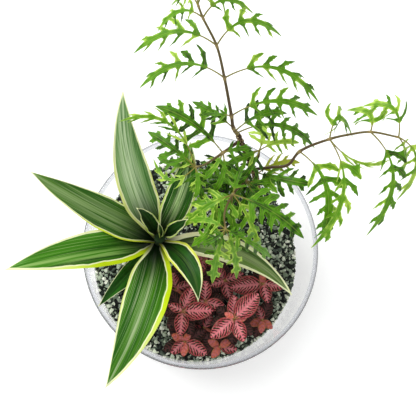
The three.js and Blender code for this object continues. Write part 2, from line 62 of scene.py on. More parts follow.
BODY = "root"

FOOT_SHADE = (0.002, 0.008, 0.0012, 1.0)  # painted shade of a strap leaf's foot, deep in the rosette where it clasps the cane
SOFT_EDGE = 0.22  # millimetres to each side over which a strap leaf's margin fades
DENSEST = 4.0e5  # stones drawn on a square metre, before those that stand too near are dropped
MOST_TURN = 6.2  # radians by which a stone is turned about each axis at the most

Pair = tuple[float, float]
Point = tuple[float, float, float]
Colour = tuple[float, float, float, float]
Socket = bpy.types.NodeSocket
Inputs = dict[str | int, Any]


# Numbers and curves
def srgb(code: str) -> Colour:
    """Turns a six-digit screen colour into a linear one.

    Args:
        code: Red, green and blue as three pairs of hexadecimal digits.

    Returns:
        The linear colour, opaque.
    """
    shares = [int(code[i : i + 2], 16) / 255 for i in (0, 2, 4)]
    linear = [c / 12.92 if c <= 0.04045 else ((c + 0.055) / 1.055) ** 2.4 for c in shares]
    return (linear[0], linear[1], linear[2], 1.0)


def smoothstep(value: np.ndarray | float, low: float, high: float) -> np.ndarray:
    """Eases from 0 at low to 1 at high.

    Args:
        value: Where to read the curve.
        low: Where it leaves 0.
        high: Where it reaches 1.

    Returns:
        The eased share, of the same shape as value.
    """
    share = np.clip((np.asarray(value, float) - low) / (high - low), 0, 1)
    return share * share * (3 - 2 * share)


def seeded(seed: int) -> Callable[[], float]:
    """Makes the repeatable draw that the solids use as well.

    Args:
        seed: Where the row of numbers starts.

    Returns:
        A function that gives the next number between 0 and 1.
    """
    state = seed

    def draw() -> float:
        """Gives the next number."""
        nonlocal state
        state = (state * 1664525 + 1013904223) % 4294967296
        return state / 4294967296

    return draw


def curve_point(knots: np.ndarray, share: float) -> np.ndarray:
    """Finds a point on the centripetal spline through some knots.

    Args:
        knots: One row for each knot.
        share: Place along the knots, 0 at the first and 1 at the last.

    Returns:
        The point.
    """
    last = len(knots) - 1
    start = min(int(share * last), last - 1)
    rest = share * last - start
    before = knots[start - 1] if start > 0 else 2 * knots[0] - knots[1]
    here, there = knots[start], knots[start + 1]
    after = knots[start + 2] if start + 2 <= last else 2 * knots[last] - knots[last - 1]
    spans = [math.sqrt(np.linalg.norm(b - a)) for a, b in ((before, here), (here, there), (there, after))]
    leave = (here - before) / spans[0] - (there - before) / (spans[0] + spans[1]) + (there - here) / spans[1]
    reach = (there - here) / spans[1] - (after - here) / (spans[1] + spans[2]) + (after - there) / spans[2]
    leave, reach = leave * spans[1], reach * spans[1]
    square, cube = rest * rest, rest**3
    bend = (-3 * here + 3 * there - 2 * leave - reach) * square
    return here + leave * rest + bend + (2 * here - 2 * there + leave + reach) * cube


def curve_points(knots: Sequence[Point], count: int) -> np.ndarray:
    """Samples the spline through some knots at even steps of its share.

    Args:
        knots: The points that the spline passes through.
        count: How many samples to take.

    Returns:
        One row for each sample.
    """
    fixed = np.array(knots, float)
    return np.array([curve_point(fixed, share) for share in np.linspace(0, 1, count)])


def bowed(
    start: np.ndarray, pull: np.ndarray, end: np.ndarray, shares: np.ndarray
) -> tuple[np.ndarray, np.ndarray]:
    """Follows a curve from start to end that leans towards a third point.

    Args:
        start: The curve's first point.
        pull: The point that it leans towards.
        end: Its last point.
        shares: Places along the curve, between 0 and 1.

    Returns:
        Points and unit directions, one row each.
    """
    s = np.asarray(shares, float)[:, None]
    points = (1 - s) ** 2 * start + 2 * s * (1 - s) * pull + s * s * end
    along = 2 * (1 - s) * (pull - start) + 2 * s * (end - pull)
    return points, along / np.linalg.norm(along, axis=1, keepdims=True)


def shares_along(route: np.ndarray) -> np.ndarray:
    """Gives the share of the route's length up to each of its points."""
    lengths = np.concatenate([[0.0], np.cumsum(np.linalg.norm(np.diff(route, axis=0), axis=1))])
    return lengths / lengths[-1]


def beside(spot: Point, length: float, turn: float, rise: float = 0.0) -> Point:
    """Gives the place at a flat distance and direction from a spot, and higher by a rise."""
    return (spot[0] + length * math.cos(turn), spot[1] + length * math.sin(turn), spot[2] + rise)


# Shapes
@dataclass
class Shape:
    """Points with faces, loose edges and named values, on the way to a mesh.

    Attributes:
        points: One row of x, y, z for each point.
        faces: Point numbers of each face, counter-clockwise seen from outside.
        edges: Pairs of point numbers that no face joins.
        values: Named values, one per point.
    """

    points: np.ndarray
    faces: list[tuple[int, ...]] = field(default_factory=list)
    edges: list[tuple[int, int]] = field(default_factory=list)
    values: dict[str, np.ndarray] = field(default_factory=dict)

    def normals(self) -> np.ndarray:
        """Finds the unit normal at each point from the faces around it.

        Returns:
            One row for each point.
        """
        thirds = [(f[0], f[k], f[k + 1]) for f in self.faces for k in range(1, len(f) - 1)]
        corners = np.array(thirds)
        a, b, c = (self.points[corners[:, k]] for k in range(3))
        across = np.cross(b - a, c - a)
        total = np.zeros_like(self.points)
        for k in range(3):
            np.add.at(total, corners[:, k], across)
        return total / np.maximum(np.linalg.norm(total, axis=1, keepdims=True), 1e-12)

    def thickened(self, thickness: float | np.ndarray) -> "Shape":
        """Turns an open sheet into a closed body of some thickness.

        Args:
            thickness: The distance between its two sides, one value or one per point.

        Returns:
            The closed shape, with the value "under" at 1 on its lower side.
        """
        half = np.broadcast_to(np.asarray(thickness) / 2, len(self.points))[:, None] * self.normals()
        count = len(self.points)
        lower = [tuple(i + count for i in reversed(face)) for face in self.faces]
        sides = {(f[k], f[(k + 1) % len(f)]) for f in self.faces for k in range(len(f))}
        open_sides = sorted((a, b) for a, b in sides if (b, a) not in sides)
        rim = [(b, a, a + count, b + count) for a, b in open_sides]
        values = {name: np.concatenate([v, v]) for name, v in self.values.items()}
        values["under"] = np.repeat([0.0, 1.0], count)
        points = np.concatenate([self.points + half, self.points - half])
        return Shape(points, self.faces + lower + rim, [], values)


def joined(shapes: Sequence[Shape]) -> Shape:
    """Puts several shapes into one.

    Args:
        shapes: The shapes, whose missing values count as 0.

    Returns:
        One shape that holds them all.
    """
    names = sorted({name for shape in shapes for name in shape.values})
    points, faces, edges = [], [], []
    values: dict[str, list[np.ndarray]] = {name: [] for name in names}
    count = 0
    for shape in shapes:
        points.append(shape.points)
        faces += [tuple(i + count for i in face) for face in shape.faces]
        edges += [(a + count, b + count) for a, b in shape.edges]
        for name in names:
            values[name].append(shape.values.get(name, np.zeros(len(shape.points))))
        count += len(shape.points)
    return Shape(np.concatenate(points), faces, edges, {n: np.concatenate(v) for n, v in values.items()})


def grid_faces(rows: int, columns: int) -> list[tuple[int, ...]]:
    """Joins a grid of points into four-sided faces.

    Args:
        rows: Number of rows of points.
        columns: Number of points in each row.

    Returns:
        The faces, which face along columns crossed with rows.
    """
    starts = [i * columns + k for i in range(rows - 1) for k in range(columns - 1)]
    return [(a, a + 1, a + 1 + columns, a + columns) for a in starts]


def lathe(profile: Sequence[Pair], segments: int) -> Shape:
    """Turns a profile about the Z axis.

    Args:
        profile: Radius and height of each point, from the axis out, round and back to the axis.
        segments: Number of steps round the axis.

    Returns:
        The closed shape.
    """
    turns = np.linspace(0, 2 * math.pi, segments, endpoint=False)
    rings = [
        np.column_stack([r * np.cos(turns), r * np.sin(turns), np.full(segments, z)])
        for r, z in profile[1:-1]
    ]
    ends = np.array([[0, 0, profile[0][1]], [0, 0, profile[-1][1]]])
    points = np.concatenate([*rings, ends])
    first, last = len(points) - 2, len(points) - 1
    top = (len(rings) - 1) * segments
    faces: list[tuple[int, ...]] = []
    for k in range(segments):
        after = (k + 1) % segments
        faces.append((first, after, k))
        faces.append((last, top + k, top + after))
        for i in range(len(rings) - 1):
            low, high = i * segments, (i + 1) * segments
            faces.append((low + k, low + after, high + after, high + k))
    return Shape(points, faces)


def rounded(middle: Pair, radius: float, degrees: Pair, steps: int) -> list[Pair]:
    """Gives the points of an arc in a turned profile.

    Args:
        middle: Radius and height of the arc's middle.
        radius: The arc's own radius.
        degrees: First and last direction.
        steps: Number of steps between them.

    Returns:
        Radius and height of each point.
    """
    turns = np.radians(np.linspace(*degrees, steps + 1))
    return [(middle[0] + radius * math.cos(t), middle[1] + radius * math.sin(t)) for t in turns]


def twig(route: np.ndarray, radii: np.ndarray, **values: np.ndarray | float) -> Shape:
    """Makes the bare line of a stem, which the twig tree gives its thickness.

    Args:
        route: One row for each point of the line.
        radii: The stem's radius at each point.
        **values: Other values at the points, or one value for all.

    Returns:
        A shape of loose edges.
    """
    count = len(route)
    kept = {name: np.broadcast_to(np.asarray(v, float), count).copy() for name, v in values.items()}
    kept["radius"] = np.broadcast_to(np.asarray(radii, float), count).copy()
    return Shape(np.asarray(route, float), [], [(i, i + 1) for i in range(count - 1)], kept)


@dataclass(frozen=True)
class Midrib:
    """The line down the middle of a leaf, bowed up and to one side.

    Attributes:
        start: Where the leaf begins.
        end: Its tip.
        arch: Height of the line's middle above the straight one.
        sweep: How far the line's middle stands to the right.
    """

    start: Point
    end: Point
    arch: float
    sweep: float

    def frames(self, shares: np.ndarray) -> tuple[np.ndarray, np.ndarray, np.ndarray]:
        """Finds the line's places and the directions across the leaf and out of its face.

        Args:
            shares: Places along the line, between 0 and 1.

        Returns:
            Places, directions to the right and directions out of the face, one row each.
        """
        start, end = np.array(self.start), np.array(self.end)
        flat = np.array([end[1] - start[1], start[0] - end[0], 0.0])
        flat /= np.linalg.norm(flat)
        pull = (start + end) / 2 + flat * 2 * self.sweep + np.array([0, 0, 2 * self.arch])
        places, along = bowed(start, pull, end, shares)
        side = flat - along * (along @ flat)[:, None]
        side /= np.linalg.norm(side, axis=1, keepdims=True)
        return places, side, np.cross(side, along)

    def points(self, shares: np.ndarray, right: np.ndarray, rise: np.ndarray) -> np.ndarray:
        """Places points by their share along, distance to the right and height over the face."""
        places, side, out = self.frames(shares)
        return places + side * np.asarray(right)[:, None] + out * np.asarray(rise)[:, None]


# Node trees
@dataclass(frozen=True, eq=False)
class Value:
    """What a node puts out, with plain signs for its sums."""

    tree: "Tree"
    socket: Socket

    def __add__(self, other: "Value | float") -> "Value":
        """Adds something to it."""
        return self.tree.math("ADD", self, other)

    def __radd__(self, other: float) -> "Value":
        """Adds it to a number."""
        return self.tree.math("ADD", other, self)

    def __sub__(self, other: "Value | float") -> "Value":
        """Takes something from it."""
        return self.tree.math("SUBTRACT", self, other)

    def __rsub__(self, other: float) -> "Value":
        """Takes it from a number."""
        return self.tree.math("SUBTRACT", other, self)

    def __mul__(self, other: "Value | float") -> "Value":
        """Multiplies it."""
        return self.tree.math("MULTIPLY", self, other)

    def __abs__(self) -> "Value":
        """Drops its sign."""
        return self.tree.math("ABSOLUTE", self)


class Tree:
    """A node tree with short calls for the nodes that this object needs."""

    def __init__(self, tree: bpy.types.NodeTree) -> None:
        """Wraps a tree and empties it."""
        self.tree = tree
        tree.nodes.clear()

    def node(self, kind: str, inputs: Inputs | None = None, **settings: Any) -> bpy.types.Node:
        """Adds a node.

        Args:
            kind: The node's type name.
            inputs: What goes into its sockets, by their name or number.
            **settings: Properties to set before the inputs.

        Returns:
            The new node.
        """
        node = self.tree.nodes.new(kind)
        for name, value in settings.items():
            setattr(node, name, value)
        for key, value in (inputs or {}).items():
            self.feed(self.socket(node, key), value)
        return node

    def add(self, kind: str, inputs: Inputs | None = None, output: int | str = 0, **settings: Any) -> Value:
        """Adds a node and gives one of its outputs."""
        return Value(self, self.node(kind, inputs, **settings).outputs[output])

    def socket(self, node: bpy.types.Node, key: str | int) -> Socket:
        """Finds a node's input by its number or its name among those in use."""
        named = (s for s in node.inputs if s.name == key and s.enabled)
        return node.inputs[key] if isinstance(key, int) else next(named)

    def feed(self, socket: Socket, value: Any) -> None:
        """Links a socket to what another node puts out, or sets its own value.

        Args:
            socket: The socket to feed.
            value: An output or a plain value, which for a colour may be its code.
        """
        source = value.socket if isinstance(value, Value) else value
        if isinstance(source, Socket):
            self.tree.links.new(source, socket)
        elif isinstance(source, str) and socket.type == "RGBA":
            socket.default_value = srgb(source)
        else:
            socket.default_value = source

    def math(self, operation: str, *values: Any, clamp: bool = False) -> Value:
        """Reckons with outputs or numbers, and clamp keeps the result between 0 and 1."""
        inputs = dict(enumerate(values))
        return self.add("ShaderNodeMath", inputs, operation=operation, use_clamp=clamp)

    def vector(self, x: Any, y: Any, z: Any) -> Value:
        """Joins three numbers into a vector."""
        return self.add("ShaderNodeCombineXYZ", {0: x, 1: y, 2: z})

    def mix(self, share: Any, first: Any, second: Any, blend: str = "MIX") -> Value:
        """Mixes two colours by the share of the second."""
        inputs = {0: share, 6: first, 7: second}
        return self.add("ShaderNodeMix", inputs, 2, data_type="RGBA", blend_type=blend)

    def ease(self, value: Any, low: Any, high: Any, start: float = 0.0, end: float = 1.0) -> Value:
        """Eases from start, for a value up to low, to end, for a value from high on."""
        inputs = {0: value, 1: low, 2: high, 3: start, 4: end}
        return self.add("ShaderNodeMapRange", inputs, interpolation_type="SMOOTHSTEP")

    def noise(self, vector: Value, scale: Any, detail: float = 2.0, roughness: float = 0.5) -> Value:
        """Adds cloudy noise and gives its value."""
        inputs = {"Vector": vector, "Scale": scale, "Detail": detail, "Roughness": roughness}
        return self.add("ShaderNodeTexNoise", inputs)

    def attribute(self, name: str) -> Value:
        """Reads a named value of the mesh."""
        return self.add("ShaderNodeAttribute", output="Fac", attribute_name=name)

    def place(self) -> Value:
        """Reads the place on the object."""
        return self.add("ShaderNodeTexCoord", output="Object")

    def named(self, name: str) -> Value:
        """Reads a named value of the geometry."""
        return self.add("GeometryNodeInputNamedAttribute", {"Name": name}, data_type="FLOAT")

    def draw(self, least: Any, most: Any, seed: Value) -> Value:
        """Draws a vector between two others for each item."""
        inputs = {0: least, 1: most, "Seed": seed}
        return self.add("FunctionNodeRandomValue", inputs, data_type="FLOAT_VECTOR")

    def join(self, *pieces: Value) -> Value:
        """Joins pieces of geometry.

        Args:
            *pieces: The pieces, in their order.

        Returns:
            The joined geometry.
        """
        node = self.node("GeometryNodeJoinGeometry")
        for piece in pieces:
            self.feed(node.inputs[0], piece)
        return Value(self, node.outputs[0])

    def dress(self, geometry: Value, material: Value) -> bpy.types.NodeTree:
        """Ends a geometry tree: makes its copies real and gives them their material.

        Args:
            geometry: What the tree has made.
            material: The material.

        Returns:
            The finished tree.
        """
        real = self.add("GeometryNodeRealizeInstances", {0: geometry})
        dressed = self.add("GeometryNodeSetMaterial", {"Geometry": real, "Material": material})
        self.node("NodeGroupOutput", {"Geometry": dressed})
        return self.tree


def new_group(
    name: str, kind: str, inputs: dict[str, Any], outputs: dict[str, str]
) -> tuple[Tree, dict[str, Value]]:
    """Makes an empty node group with its sockets.

    Args:
        name: The group's name.
        kind: The type of node tree.
        inputs: Usual value of each input, or the kind of one that has none.
        outputs: Kind of each output.

    Returns:
        The wrapped tree and what its inputs give, by name.
    """
    tree = bpy.data.node_groups.new(name, kind)
    kinds = {float: "Float", int: "Int", tuple: "Color"}
    for label, value in inputs.items():
        socket = "NodeSocket" + kinds.get(type(value), str(value))
        made = tree.interface.new_socket(name=label, in_out="INPUT", socket_type=socket)
        if type(value) in kinds:
            made.default_value = value
    for label, socket in outputs.items():
        tree.interface.new_socket(name=label, in_out="OUTPUT", socket_type="NodeSocket" + socket)
    group = Tree(tree)
    return group, {s.name: Value(group, s) for s in group.node("NodeGroupInput").outputs if s.name}


def labelled(values: Any) -> dict[str, Any]:
    """Gives a dataclass's values under the names of a group's inputs."""
    return {name.replace("_", " ").title(): value for name, value in asdict(values).items()}


def grow(piece: bpy.types.Object, tree: bpy.types.NodeTree, inputs: dict[str, Any]) -> None:
    """Runs a geometry tree on a piece and keeps the result as its plain mesh.

    Args:
        piece: The object that the tree works on.
        tree: The geometry tree.
        inputs: The tree's inputs by name.
    """
    modifier = piece.modifiers.new(tree.name, "NODES")
    modifier.node_group = tree
    for item in tree.interface.items_tree:
        if item.item_type == "SOCKET" and item.in_out == "INPUT" and item.name in inputs:
            modifier[item.identifier] = inputs[item.name]
    depsgraph = bpy.context.evaluated_depsgraph_get()
    result = bpy.data.meshes.new_from_object(
        piece.evaluated_get(depsgraph), preserve_all_data_layers=True, depsgraph=depsgraph
    )
    before = piece.data
    piece.modifiers.remove(modifier)
    piece.data = result
    bpy.data.meshes.remove(before)
    result.name = piece.name


@cache
def twig_tree() -> bpy.types.NodeTree:
    """Builds the tree that thickens loose edges into stems and keeps the leaf blades.

    Returns:
        A geometry tree with inputs for the number of sides and the material.
    """
    group, given = new_group(
        "Twigs", "GeometryNodeTree",
        {"Geometry": "Geometry", "Sides": 8, "Material": "Material"}, {"Geometry": "Geometry"},
    )
    radius = group.named("radius")
    bare = group.add("FunctionNodeCompare", {0: radius, 1: 0.0}, operation="GREATER_THAN")
    lines = group.add("GeometryNodeMeshToCurve", {"Mesh": given["Geometry"], "Selection": bare})
    circle = group.add("GeometryNodeCurvePrimitiveCircle", {"Resolution": given["Sides"], "Radius": 1.0})
    stems = group.add(
        "GeometryNodeCurveToMesh",
        {"Curve": lines, "Profile Curve": circle, "Scale": radius, "Fill Caps": True},
    )
    blades = group.add(
        "GeometryNodeDeleteGeometry", {"Geometry": given["Geometry"], "Selection": bare}, domain="POINT"
    )
    return group.dress(group.join(stems, blades), given["Material"])


@cache
def stone_tree() -> bpy.types.NodeTree:
    """Builds the tree that covers a body with angular stones in two sizes.

    Returns:
        A geometry tree with inputs for the spacing, the sizes, the wall and the floor that hold
        the stones in, the seed and the material. Each stone gets a "tone" between 0.1 and 1.
    """
    group, given = new_group(
        "Stones", "GeometryNodeTree",
        {
            "Geometry": "Geometry", "Spacing": 0.004, "Size": 0.002, "Size Spread": 0.3, "Flatness": 0.7,
            "Roughen": 0.3, "Small Share": 0.6, "Facets": 1, "Wall": 1.0, "Floor": -1.0, "Seed": 1,
            "Material": "Material",
        },
        {"Geometry": "Geometry"},
    )
    fewer = group.math("MAXIMUM", given["Facets"] - 1.0, 1.0)
    covered = group.add("FunctionNodeCompare", {0: group.named("cover"), 1: 0.5}, operation="GREATER_THAN")
    flatness, spread = given["Flatness"], given["Size Spread"]
    least, most = 1.0 - spread, 1.0 + spread
    smallest = group.vector(least, least, least * flatness)
    largest = group.vector(most, most, most * flatness)
    pieces = [given["Geometry"]]
    for turn, (share, facets) in enumerate(((1.0, given["Facets"]), (given["Small Share"], fewer))):
        stone = group.add("GeometryNodeMeshIcoSphere", {"Radius": 1.0, "Subdivisions": facets})
        seed = given["Seed"] + 10.0 * turn
        size = given["Size"] * share
        inputs = {"Mesh": given["Geometry"], "Selection": covered, "Density Max": DENSEST, "Seed": seed}
        inputs["Distance Min"] = given["Spacing"] * share
        points = group.add("GeometryNodeDistributePointsOnFaces", inputs, distribute_method="POISSON")
        inputs = {"Points": points, "Instance": stone}
        inputs["Rotation"] = group.draw((0.0, 0.0, 0.0), (MOST_TURN, MOST_TURN, MOST_TURN), seed + 3.0)
        sizes = {0: group.draw(smallest, largest, seed), 3: size}
        inputs["Scale"] = group.add("ShaderNodeVectorMath", sizes, operation="SCALE")
        placed = group.add("GeometryNodeInstanceOnPoints", inputs)
        tones = {2: 0.1, 3: 1.0, "Seed": seed + 5.0}
        tone = group.add("FunctionNodeRandomValue", tones, 1, data_type="FLOAT")
        toned = group.add(
            "GeometryNodeStoreNamedAttribute", {"Geometry": placed, "Name": "tone", "Value": tone},
            data_type="FLOAT", domain="INSTANCE",
        )
        real = group.add("GeometryNodeRealizeInstances", {0: toned})
        reach = size * given["Roughen"]
        back = reach * -1.0
        shift = group.draw(group.vector(back, back, back), group.vector(reach, reach, reach), seed + 7.0)
        rough = group.add("GeometryNodeSetPosition", {"Geometry": real, "Offset": shift})
        parts = group.node("ShaderNodeSeparateXYZ", {0: group.add("GeometryNodeInputPosition")})
        x, y, z = (Value(group, socket) for socket in parts.outputs)
        flat = {0: group.vector(x, y, 0.0)}
        radius = group.math(
            "MAXIMUM", group.add("ShaderNodeVectorMath", flat, "Value", operation="LENGTH"), 1e-6
        )
        hold = group.math("MINIMUM", 1.0, group.math("DIVIDE", given["Wall"], radius))
        kept = group.vector(x * hold, y * hold, group.math("MAXIMUM", z, given["Floor"]))
        pieces.append(group.add("GeometryNodeSetPosition", {"Geometry": rough, "Position": kept}))
    faceted = {"Geometry": group.join(*pieces), "Shade Smooth": False}
    return group.dress(group.add("GeometryNodeSetShadeSmooth", faceted), given["Material"])


@cache
def stripe_group() -> bpy.types.NodeTree:
    """Builds the shader group that paints a strap leaf's green stripes and pale margins, with painted shade
    at its foot.

    Returns:
        A shader group that puts out the colour and the height of the fibres.
    """
    group, given = new_group(
        "Strap stripes", "ShaderNodeTree",
        {
            "Across": 0.0, "Along": 0.0, "Reach": 10.0, "Seed": 0.0,
            "Deep": srgb("1a3a16"), "Middle": srgb("2f6a1c"), "Pale": srgb("7f9c74"),
            "Band Place": 0.0, "Band Width": 0.4, "Band Strength": 0.5,
            "Left Margin": srgb("e9efb8"), "Left Width": 1.0,
            "Right Margin": srgb("e9efb8"), "Right Width": 1.0,
            "Line": srgb("f6f6e2"), "Line Width": 0.5,
        },
        {"Color": "Color", "Height": "Float"},
    )
    mix, ease = group.mix, group.ease
    across, along, reach, seed = (given[name] for name in ("Across", "Along", "Reach", "Seed"))
    pale, strength = given["Pale"], given["Band Strength"]
    right = across * reach
    fine = group.noise(group.vector(right * 0.75, along * 1.8, seed * 3.1), 1.0, 3.0, 0.6)
    broad = group.noise(group.vector(right * 0.23, along * 0.9, seed * 5.7), 1.0, 1.0)
    colour = mix(ease(broad * 0.65 + fine * 0.35, 0.38, 0.62), given["Deep"], given["Middle"])
    band = ease(abs(across - given["Band Place"]), 0.0, given["Band Width"], 1.0, 0.0)
    colour = mix(band * ease(fine, 0.34, 0.6) * strength, colour, pale)
    needle = group.noise(group.vector(right * 2.1, along * 1.3, seed * 7.3), 1.0, 2.0)
    colour = mix(ease(needle, 0.56, 0.7) * (strength * 0.9), colour, pale)
    # painted shade: the lower part of the leaf darkens to near black towards its foot in the rosette
    colour = mix(ease(along, 0.04, 0.37, 0.98, 0.0), colour, FOOT_SHADE)
    taper = ease(along, 0.3, 0.95, 1.0, 0.32)
    fade = ease(along, 0.4, 0.8, 0.0, 0.75)
    for side, way in (("Left", 1.0), ("Right", -1.0)):
        inward = (1.0 + across * way) * reach
        wobble = group.noise(group.vector(along * 9.0, seed, way * 4.0), 1.0, 2.0)
        width = given[side + " Width"] * taper * (0.6 + wobble * 0.8)
        inner = width - given["Line Width"]
        mask = ease(inward, width - SOFT_EDGE, width + SOFT_EDGE, 1.0, 0.0)
        line = ease(inward, inner - SOFT_EDGE, inner + SOFT_EDGE)
        colour = mix(mask, colour, mix(fade, given[side + " Margin"], "eff3b8"))
        colour = mix(mask * line, colour, given["Line"])
    # painted shade: close to the foot the margins darken too
    colour = mix(ease(along, 0.02, 0.15, 0.8, 0.0), colour, FOOT_SHADE)
    height = group.math("SINE", right * 2.6) * 0.5 + fine
    group.node("NodeGroupOutput", {"Color": colour, "Height": height})
    return group.tree


@cache
def grain_group() -> bpy.types.NodeTree:
    """Builds the shader group for the fine grain of stone, soil and bark.

    Returns:
        A shader group that puts out a light factor round 1 and a height.
    """
    group, given = new_group(
        "Mineral grain", "ShaderNodeTree",
        {"Vector": "Vector", "Scale": 900.0, "Contrast": 0.4}, {"Light": "Float", "Height": "Float"},
    )
    cloud = group.noise(given["Vector"], given["Scale"], 4.0, 0.65)
    light = 1.0 + (cloud - 0.5) * given["Contrast"] * 2.0
    group.node("NodeGroupOutput", {"Light": light, "Height": cloud})
    return group.tree


@cache
def lamina_group() -> bpy.types.NodeTree:
    """Builds the shader group for the green of a cut leaf, from deep to bright, with painted shade along the
    rib and painted highlight towards the edges.

    Returns:
        A shader group that puts out the colour and the height of the veins.
    """
    group, given = new_group(
        "Leaf lamina", "ShaderNodeTree",
        {
            "Vector": "Vector", "Tone": 0.5, "Vein": 0.5, "Under": 0.0,
            "Deep": srgb("1f4f14"), "Middle": srgb("3f8a1e"),
            "Bright": srgb("86bd3e"), "Pale": srgb("9cc47c"),
        },
        {"Color": "Color", "Height": "Float"},
    )
    mix, ease, vein, bright = group.mix, group.ease, given["Vein"], given["Bright"]
    cloud = group.noise(given["Vector"], 140.0, 3.0)
    # painted shade and highlight: the tone is darker near the rib, where the leaf folds, and lighter towards
    # its edges
    tone = given["Tone"] + (cloud - 0.5) * 0.9 + ease(vein, 0.15, 1.0, -0.14, 0.14)
    colour = mix(ease(tone, 0.0, 0.5), given["Deep"], given["Middle"])
    colour = mix(ease(tone, 0.5, 1.0), colour, bright)
    colour = mix(ease(vein, 0.0, 0.24, 0.22, 0.0), colour, bright)
    colour = mix(given["Under"] * 0.6, colour, given["Pale"])
    height = group.noise(given["Vector"], 520.0, 2.0) - ease(vein, 0.0, 0.25, 1.2, 0.0)
    group.node("NodeGroupOutput", {"Color": colour, "Height": height})
    return group.tree


# Finishes
class Finish:
    """A material in the making: its tree, its main shader and its output."""

    def __init__(self, name: str, roughness: float, specular: float = 0.5) -> None:
        """Starts a material with the main shader.

        Args:
            name: The material's name.
            roughness: The shader's roughness.
            specular: The strength of its reflections.
        """
        self.material = bpy.data.materials.new(name)
        self.material.use_nodes = True
        self.tree = Tree(self.material.node_tree)
        self.output = self.tree.node("ShaderNodeOutputMaterial")
        self.shader = self.tree.node(
            "ShaderNodeBsdfPrincipled", {"Roughness": roughness, "Specular IOR Level": specular}
        )
        self.tree.feed(self.output.inputs["Surface"], self.shader.outputs[0])

    def group(self, tree: bpy.types.NodeTree, inputs: Inputs) -> bpy.types.bpy_prop_collection:
        """Places a shared group with this material's values and gives its outputs."""
        return self.tree.node("ShaderNodeGroup", inputs, node_tree=tree).outputs

    def read(self, *names: str) -> dict[str, Value]:
        """Reads values of the mesh, under the names of a group's inputs."""
        return {name.title(): self.tree.attribute(name) for name in names}

    def paint(self, colour: Any) -> None:
        """Gives the main shader its colour."""
        self.tree.feed(self.shader.inputs["Base Color"], colour)

    def emboss(self, height: Any, distance: float, strength: float = 1.0) -> None:
        """Presses a height into the surface: the distance is that of a height of 1."""
        bump = self.tree.add("ShaderNodeBump", {"Height": height, "Distance": distance, "Strength": strength})
        self.tree.feed(self.shader.inputs["Normal"], bump)

    def grain(self, colour: Any, scale: float, contrast: float, depth: float, strength: float = 1.0) -> None:
        """Paints a colour with mineral grain, and roughens the surface by it.

        Args:
            colour: The colour without grain.
            scale: Scale of the grain.
            contrast: How strong it is.
            depth: Metres for a height of 1.
            strength: Share of the relief.
        """
        inputs = {"Vector": self.tree.place(), "Scale": scale, "Contrast": contrast}
        grain = self.group(grain_group(), inputs)
        light = self.tree.vector(grain["Light"], grain["Light"], grain["Light"])
        self.paint(self.tree.mix(1.0, colour, light, "MULTIPLY"))
        self.emboss(grain["Height"], depth, strength)

    def glow_through(self, colour: Any, share: float) -> None:
        """Lets some light through a thin leaf.

        Args:
            colour: Colour of the light that comes through.
            share: How much of the surface's light it is.
        """
        through = self.tree.add("ShaderNodeBsdfTranslucent", {"Color": colour})
        both = self.tree.add("ShaderNodeMixShader", {0: share, 1: self.shader.outputs[0], 2: through})
        self.tree.feed(self.output.inputs["Surface"], both)


@dataclass(frozen=True)
class StripedFinish:
    """The colours of one strap leaf: greens, a silvery band, margins and the line beside them.

    The widths of the margins and the line are millimetres. The band's place and width are shares
    of half the leaf.
    """

    deep: str
    middle: str
    pale: str
    band_place: float
    band_width: float
    band_strength: float
    left_margin: str
    left_width: float
    right_margin: str
    right_width: float
    line_width: float
    line: str = "f4f8c8"

    def material(self, name: str, seed: float) -> bpy.types.Material:
        """Makes the leaf's material.

        Args:
            name: The material's name.
            seed: Shifts the stripes.

        Returns:
            The material.
        """
        finish = Finish(name, 0.38, 0.16)
        inputs = labelled(self) | finish.read("across", "along", "reach") | {"Seed": seed}
        stripes = finish.group(stripe_group(), inputs)
        finish.paint(stripes["Color"])
        finish.emboss(stripes["Height"], 0.12 * MM, 0.5)
        finish.glow_through(stripes["Color"], 0.16)
        return finish.material


@dataclass(frozen=True)
class StoneFinish:
    """The colours of loose stones or crumbs, and the scale and contrast of their grain.

    Attributes:
        core: Colour of the dark body between them, darker than any stone: painted shade of the gaps.
        tones: Share of the tones up to which each colour goes, and the colour.
    """

    name: str
    core: str
    tones: tuple[tuple[float, str], ...]
    grain: float = 1400.0
    contrast: float = 0.5
    roughness: float = 0.85

    def material(self) -> bpy.types.Material:
        """Makes the material, in which each stone has the colour of its tone.

        Returns:
            The material.
        """
        finish = Finish(self.name, self.roughness, 0.35)
        ramp = finish.tree.node("ShaderNodeValToRGB", {0: finish.tree.attribute("tone")})
        ramp.color_ramp.interpolation = "CONSTANT"
        stops = ramp.color_ramp.elements
        # the dark body between the stones takes the core colour: painted shade of the gaps
        stops[0].color = srgb(self.core)
        stops[1].position = 0.05
        stops[1].color = srgb(self.tones[0][1])
        for (share, _), (_, colour) in zip(self.tones, self.tones[1:]):
            stops.new(share).color = srgb(colour)
        finish.grain(ramp.outputs[0], self.grain, self.contrast, 0.25 * MM, 0.8)
        return finish.material


@dataclass(frozen=True)
class BarkFinish:
    """The colours of a woody stem: light and dark patches, and green where leaves clasp it."""

    name: str
    light: str
    dark: str
    sheath: str
    grain: float = 900.0

    def material(self) -> bpy.types.Material:
        """Makes the material.

        Returns:
            The material.
        """
        finish = Finish(self.name, 0.9, 0.3)
        tree = finish.tree
        patches = tree.ease(tree.noise(tree.place(), 260.0, 3.0), 0.35, 0.65)
        base = tree.mix(patches, self.dark, self.light)
        base = tree.mix(tree.attribute("sheath"), base, self.sheath)
        finish.grain(base, self.grain, 0.8, 0.5 * MM)
        return finish.material


